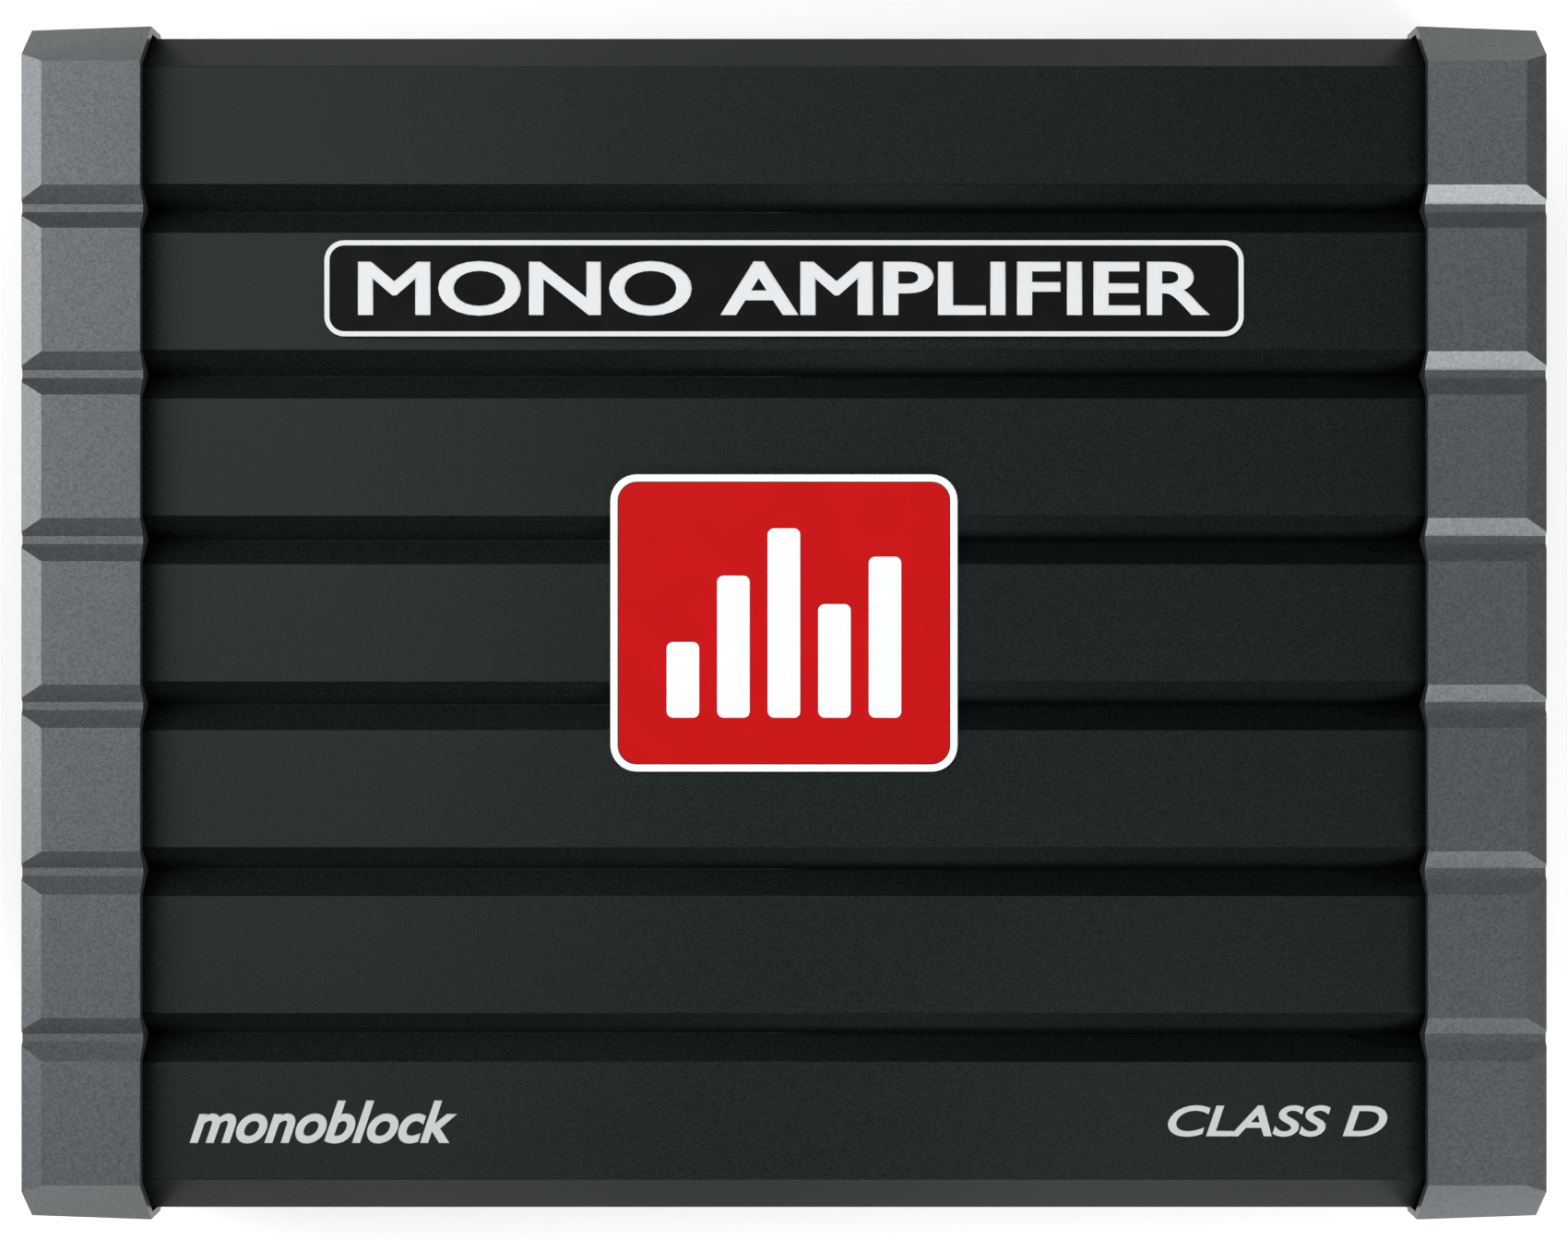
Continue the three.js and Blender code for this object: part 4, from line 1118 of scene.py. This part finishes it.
class AMPLIFIER_OT_indicators(bpy.types.Operator):
    """Makes the two indicator lights"""

    bl_idname = "amplifier.indicators"
    bl_label = "Indicators"

    def execute(self, context):
        for node, slot in (("power_indicator", "led_blue"), ("protect_indicator", "led_red")):
            low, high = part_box(node)
            centre, back, tip, radius = middle(node), -high.x, -low.x, 1.5 * MM
            dome = [(radius * math.cos(a), tip - radius + radius * math.sin(a)) for a in
                    [math.radians(d) for d in (0, 15, 30, 45, 60, 75)]]
            flange = (high.z - low.z) / 2
            lens = turned(f"{node}_lens", [
                (0, back), (flange, back), (flange, back + 1 * MM), (radius, back + 1 * MM), *dome, (0, tip),
            ], 32)
            lens.data.shade_smooth()
            lens.data.set_sharp_from_angle(angle=math.radians(40))
            settle(placed(lens, at_end("signal", -centre.y, centre.z, 0)), slot, node)
        return {"FINISHED"}


class AMPLIFIER_OT_power_panel(bpy.types.Operator):
    """Makes the power end's panel with its screws and labels"""

    bl_idname = "amplifier.power_panel"
    bl_label = "Power Panel"

    def execute(self, context):
        end = "power"
        end_panel(end, [(-98, 36), (-98, 12), (-36, 36), (42, 36), (98, 36), (98, 12)])
        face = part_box("power_terminal_block")[1].x
        for pole, words in (("battery", "BATT +"), ("remote", "REM"), ("ground", "GND")):
            across = across_of(end, f"power_insert_{pole}")
            end_label(end, f"label_{pole}", words, across, 28.6 * MM, face, 2.1 * MM)
        for pole, words in (("positive", "+"), ("negative", "-")):
            end_label(end, f"label_{pole}", words, across_of(end, f"speaker_insert_{pole}"), 27 * MM, face,
                      1.6 * MM if pole == "positive" else 0.4 * MM)
        sheet = panel_face(end)
        for use in ("power", "speaker"):
            across = across_of(end, f"{use}_terminal_block")
            end_label(end, f"label_{use}", use.upper(), across, 37 * MM, sheet, 2.2 * MM)
        end_label(end, "label_fuse", "FUSE", across_of(end, "fuse_holder") - 28 * MM, 24 * MM, sheet, 2.0 * MM)
        return {"FINISHED"}


POLES = {"power": ("battery", "remote", "ground"), "speaker": ("positive", "negative")}


class AMPLIFIER_OT_terminals(bpy.types.Operator):
    """Makes the wire terminals: housings, gold inserts and socket-head clamp screws"""

    bl_idname = "amplifier.terminals"
    bl_label = "Terminals"

    def execute(self, context):
        for use, poles in POLES.items():
            kept_form(f"{use}_terminal_block", f"{use}_terminal_housing", "black_plastic", 0.3 * MM)
            for pole in poles:
                kept_form(f"{use}_insert_{pole}", f"{use}_{pole}_contact", "gold_plated_brass", 0.2 * MM)
                self.clamp_screw(use, pole)
        return {"FINISHED"}

    def clamp_screw(self, use, pole):
        node = f"{use}_clamp_screw_{pole}"
        low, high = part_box(node)
        centre, radius = middle(node), (high.x - low.x) / 2
        edge = 0.12 * MM
        threads = []
        pitch = 0.5 * MM
        turns = int((high.z - low.z - 1.2 * MM) / pitch)
        for n in range(turns):
            height = low.z + 0.5 * MM + n * pitch
            threads += [(radius, height), (radius - 0.18 * MM, height + pitch / 2)]
        body = turned("thread", [
            (0, low.z), (radius - 0.5 * MM, low.z), *threads, (radius, high.z - edge), (radius - edge, high.z),
            (0, high.z)], 40)
        key = turned("key", [(0, high.z - 2.2 * MM), (0.56 * radius, high.z - 2.2 * MM),
                             (0.56 * radius, high.z + 1 * MM), (0, high.z + 1 * MM)], 6)
        screw = rounded(cut(body, key), 0.05 * MM, 1, 50)
        screw.name = f"{use}_{pole}_set_screw"
        settle(shifted(screw, centre.x, centre.y), "zinc_plated_steel", node, body=f"{use}_{pole}_screw")


class AMPLIFIER_OT_fuses(bpy.types.Operator):
    """Makes the fuse holder and its plug-in fuses"""

    bl_idname = "amplifier.fuses"
    bl_label = "Fuses"

    def execute(self, context):
        kept_form("fuse_holder", "fuse_housing", "black_plastic", 0.3 * MM)
        for n in (1, 2, 3):
            self.fuse(n)
        return {"FINISHED"}

    def fuse(self, n):
        """One fuse: a tinted moulding with a narrower grip, two blades and its rating."""
        node, body = f"blade_fuse_{n}", f"fuse_{n}"
        low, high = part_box(node)
        centre = middle(node)
        back, waist, front = 133.2 * MM, 139.4 * MM, high.x
        grip_y, grip_z = 0.6 * MM, 2 * MM
        shell = joined(
            f"fuse_{n}_moulding",
            block("fuse_base", (back, low.y, low.z), (waist, high.y, high.z), 0.5 * MM, 3),
            block("fuse_grip", (waist - 0.6 * MM, low.y + grip_y, low.z + grip_z),
                  (front, high.y - grip_y, high.z - grip_z), 0.5 * MM, 3))
        settle(shell, "fuse_amber", node, body=body)
        blades = []
        for side in (-1, 1):
            heights = sorted((centre.z + side * 4 * MM, centre.z + side * 9 * MM))
            blades.append(block(
                f"blade_{side}", (low.x, centre.y - 0.35 * MM, heights[0]),
                (back + 0.4 * MM, centre.y + 0.35 * MM, heights[1]), 0.15 * MM))
        settle(joined(f"fuse_{n}_blades", *blades), "zinc_plated_steel", body=body)
        ink = 0.05 * MM
        rating = lettering(f"fuse_{n}_rating", "40", 2.6 * MM, ink, bold=0.02)
        turn = Matrix.Rotation(math.pi / 2, 4, "Z")
        place = outward("power") @ Matrix.Translation((centre.y, centre.z, front + 0.4 * ink)) @ turn
        settle(placed(rating, place), "white", slot="fuse_amber", body=body)


# ---- Inside ----

class AMPLIFIER_OT_windings(bpy.types.Operator):
    """Winds the transformers and the output choke"""

    bl_idname = "amplifier.windings"
    bl_label = "Windings"

    def execute(self, context):
        tree = winding_tree(FINISHES["copper_winding"])
        for node, hole in (("power_transformer_1", 9), ("power_transformer_2", 9), ("output_choke", 8)):
            low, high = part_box(node)
            centre, wire = middle(node), 0.55 * MM
            outer, inner, tall = (high.x - low.x) / 2, hole * MM, high.z - low.z
            ring, half = (outer + inner) / 2, (outer - inner) / 2 - wire
            turns = int(2 * math.pi * (inner + 2 * wire) / (2.3 * wire))
            coil = grown(
                point_set(f"{node}_wire", []), tree, Turns=float(turns), Ring_Radius=ring, Half_Width=half,
                Half_Height=tall / 2 - wire, Wire_Radius=wire, Points=turns * 20)
            settle(shifted(coil, *centre), None, node, slot="copper_winding")
            w, t, edge = half - wire, tall / 2 - 2.2 * wire, 1.5 * MM
            core = turned(f"{node}_core", [
                (ring - w, -t + edge), (ring - w + edge, -t), (ring + w - edge, -t), (ring + w, -t + edge),
                (ring + w, t - edge), (ring + w - edge, t), (ring - w + edge, t), (ring - w, t - edge)])
            settle(shifted(core, *centre), "core", slot="copper_winding")
        return {"FINISHED"}


class AMPLIFIER_OT_capacitors(bpy.types.Operator):
    """Makes the supply capacitors with their sleeves and vented tops"""

    bl_idname = "amplifier.capacitors"
    bl_label = "Capacitors"

    def execute(self, context):
        for n in (1, 2, 3, 4):
            node = f"supply_capacitor_{n}"
            low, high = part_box(node)
            centre, radius = middle(node), (high.x - low.x) / 2
            neck = low.z + 3 * MM
            lip = radius - 1.6 * MM
            sleeve = turned(f"{node}_sleeve", [
                (0, low.z), (radius - 0.8 * MM, low.z), (radius, low.z + 0.8 * MM), (radius, neck - 0.8 * MM),
                (radius - 0.7 * MM, neck), (radius, neck + 0.8 * MM), (radius, high.z - 1 * MM),
                (radius - 0.9 * MM, high.z - 0.1 * MM), (lip, high.z - 0.3 * MM), (0, high.z - 0.3 * MM)])
            sleeve = rounded(sleeve, 0.15 * MM, angle=20)
            settle(shifted(sleeve, centre.x, centre.y), "capacitor_sleeve", node)
            lid = turned(f"{node}_top", [
                (0, high.z - 0.5 * MM), (lip - 0.1 * MM, high.z - 0.5 * MM),
                (lip - 0.1 * MM, high.z - 0.15 * MM), (0, high.z - 0.15 * MM)])
            lid = crossed(lid, 0.8 * lip, 0.2 * MM, high.z - 0.28 * MM, high.z + 1 * MM)
            settle(shifted(lid, centre.x, centre.y), "bare_aluminium")
        return {"FINISHED"}


class AMPLIFIER_OT_transistors(bpy.types.Operator):
    """Makes the power transistors and the bars that clamp them"""

    bl_idname = "amplifier.transistors"
    bl_label = "Transistors"

    def execute(self, context):
        for side in ("front", "rear"):
            kept_form(f"transistor_clamp_{side}", f"clamp_bar_{side}", "bare_aluminium", 0.3 * MM)
            for n in (1, 2):
                node = f"power_transistor_{side}_{n}"
                kept_form(node, f"{node}_moulding", "black_plastic", 0.12 * MM)
        return {"FINISHED"}


class AMPLIFIER_OT_board(bpy.types.Operator):
    """Makes the circuit board and rows of small parts on it"""

    bl_idname = "amplifier.board"
    bl_label = "Circuit Board"

    def execute(self, context):
        low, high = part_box("main_circuit_board")
        board = block("circuit_board", low, high, 0.1 * MM)
        settle(board, "board_laminate", "main_circuit_board")
        chip = block("chip", (-1 * MM, -0.6 * MM, 0), (1 * MM, 0.6 * MM, 0.6 * MM), 0.1 * MM, 1)
        spots = [(x * MM, y * MM, high.z) for x in range(-36, 37, 6) for y in range(-52, 9, 6)]
        tree = scattered_tree("Board Parts", FINISHES["black_plastic"])
        parts = grown(point_set("board_parts", spots), tree, Piece=chip, Turn=(0, 0, 0), Scale=1.0)
        bpy.data.objects.remove(chip)
        settle(parts, None, slot="black_plastic")
        return {"FINISHED"}


# ---- Add-on ----

OPERATORS = (
    AMPLIFIER_OT_stage,
    AMPLIFIER_OT_heatsink,
    AMPLIFIER_OT_end_caps,
    AMPLIFIER_OT_base_plate,
    AMPLIFIER_OT_name_plate,
    AMPLIFIER_OT_badge,
    AMPLIFIER_OT_prints,
    AMPLIFIER_OT_signal_panel,
    AMPLIFIER_OT_sockets,
    AMPLIFIER_OT_controls,
    AMPLIFIER_OT_switch_and_jack,
    AMPLIFIER_OT_indicators,
    AMPLIFIER_OT_power_panel,
    AMPLIFIER_OT_terminals,
    AMPLIFIER_OT_fuses,
    AMPLIFIER_OT_windings,
    AMPLIFIER_OT_capacitors,
    AMPLIFIER_OT_transistors,
    AMPLIFIER_OT_board,
)
GROUPS = {
    "amplifier_sizes": AmplifierSizes,
    "amplifier_colours": AmplifierColours,
    "amplifier_words": AmplifierWords,
}


class AMPLIFIER_PT_sidebar(bpy.types.Panel):
    """The sidebar's list of settings and steps"""

    bl_idname = "AMPLIFIER_PT_sidebar"
    bl_label = "Car Amplifier"
    bl_space_type = "VIEW_3D"
    bl_region_type = "UI"
    bl_category = "Amplifier"

    def draw(self, context):
        for name, group in GROUPS.items():
            column = self.layout.column(align=True)
            for field in group.__annotations__:
                column.prop(getattr(context.scene, name), field)
        for operator in OPERATORS:
            self.layout.operator(operator.bl_idname)


def register():
    for name, group in GROUPS.items():
        bpy.utils.register_class(group)
        setattr(bpy.types.Scene, name, PointerProperty(type=group))
    for one in (*OPERATORS, AMPLIFIER_PT_sidebar):
        bpy.utils.register_class(one)


def unregister():
    for one in reversed((*OPERATORS, AMPLIFIER_PT_sidebar)):
        bpy.utils.unregister_class(one)
    for name, group in GROUPS.items():
        delattr(bpy.types.Scene, name)
        bpy.utils.unregister_class(group)


def main():
    register()
    for operator in OPERATORS:
        family, step = operator.bl_idname.split(".")
        getattr(getattr(bpy.ops, family), step)()


if __name__ == "__main__":
    main()
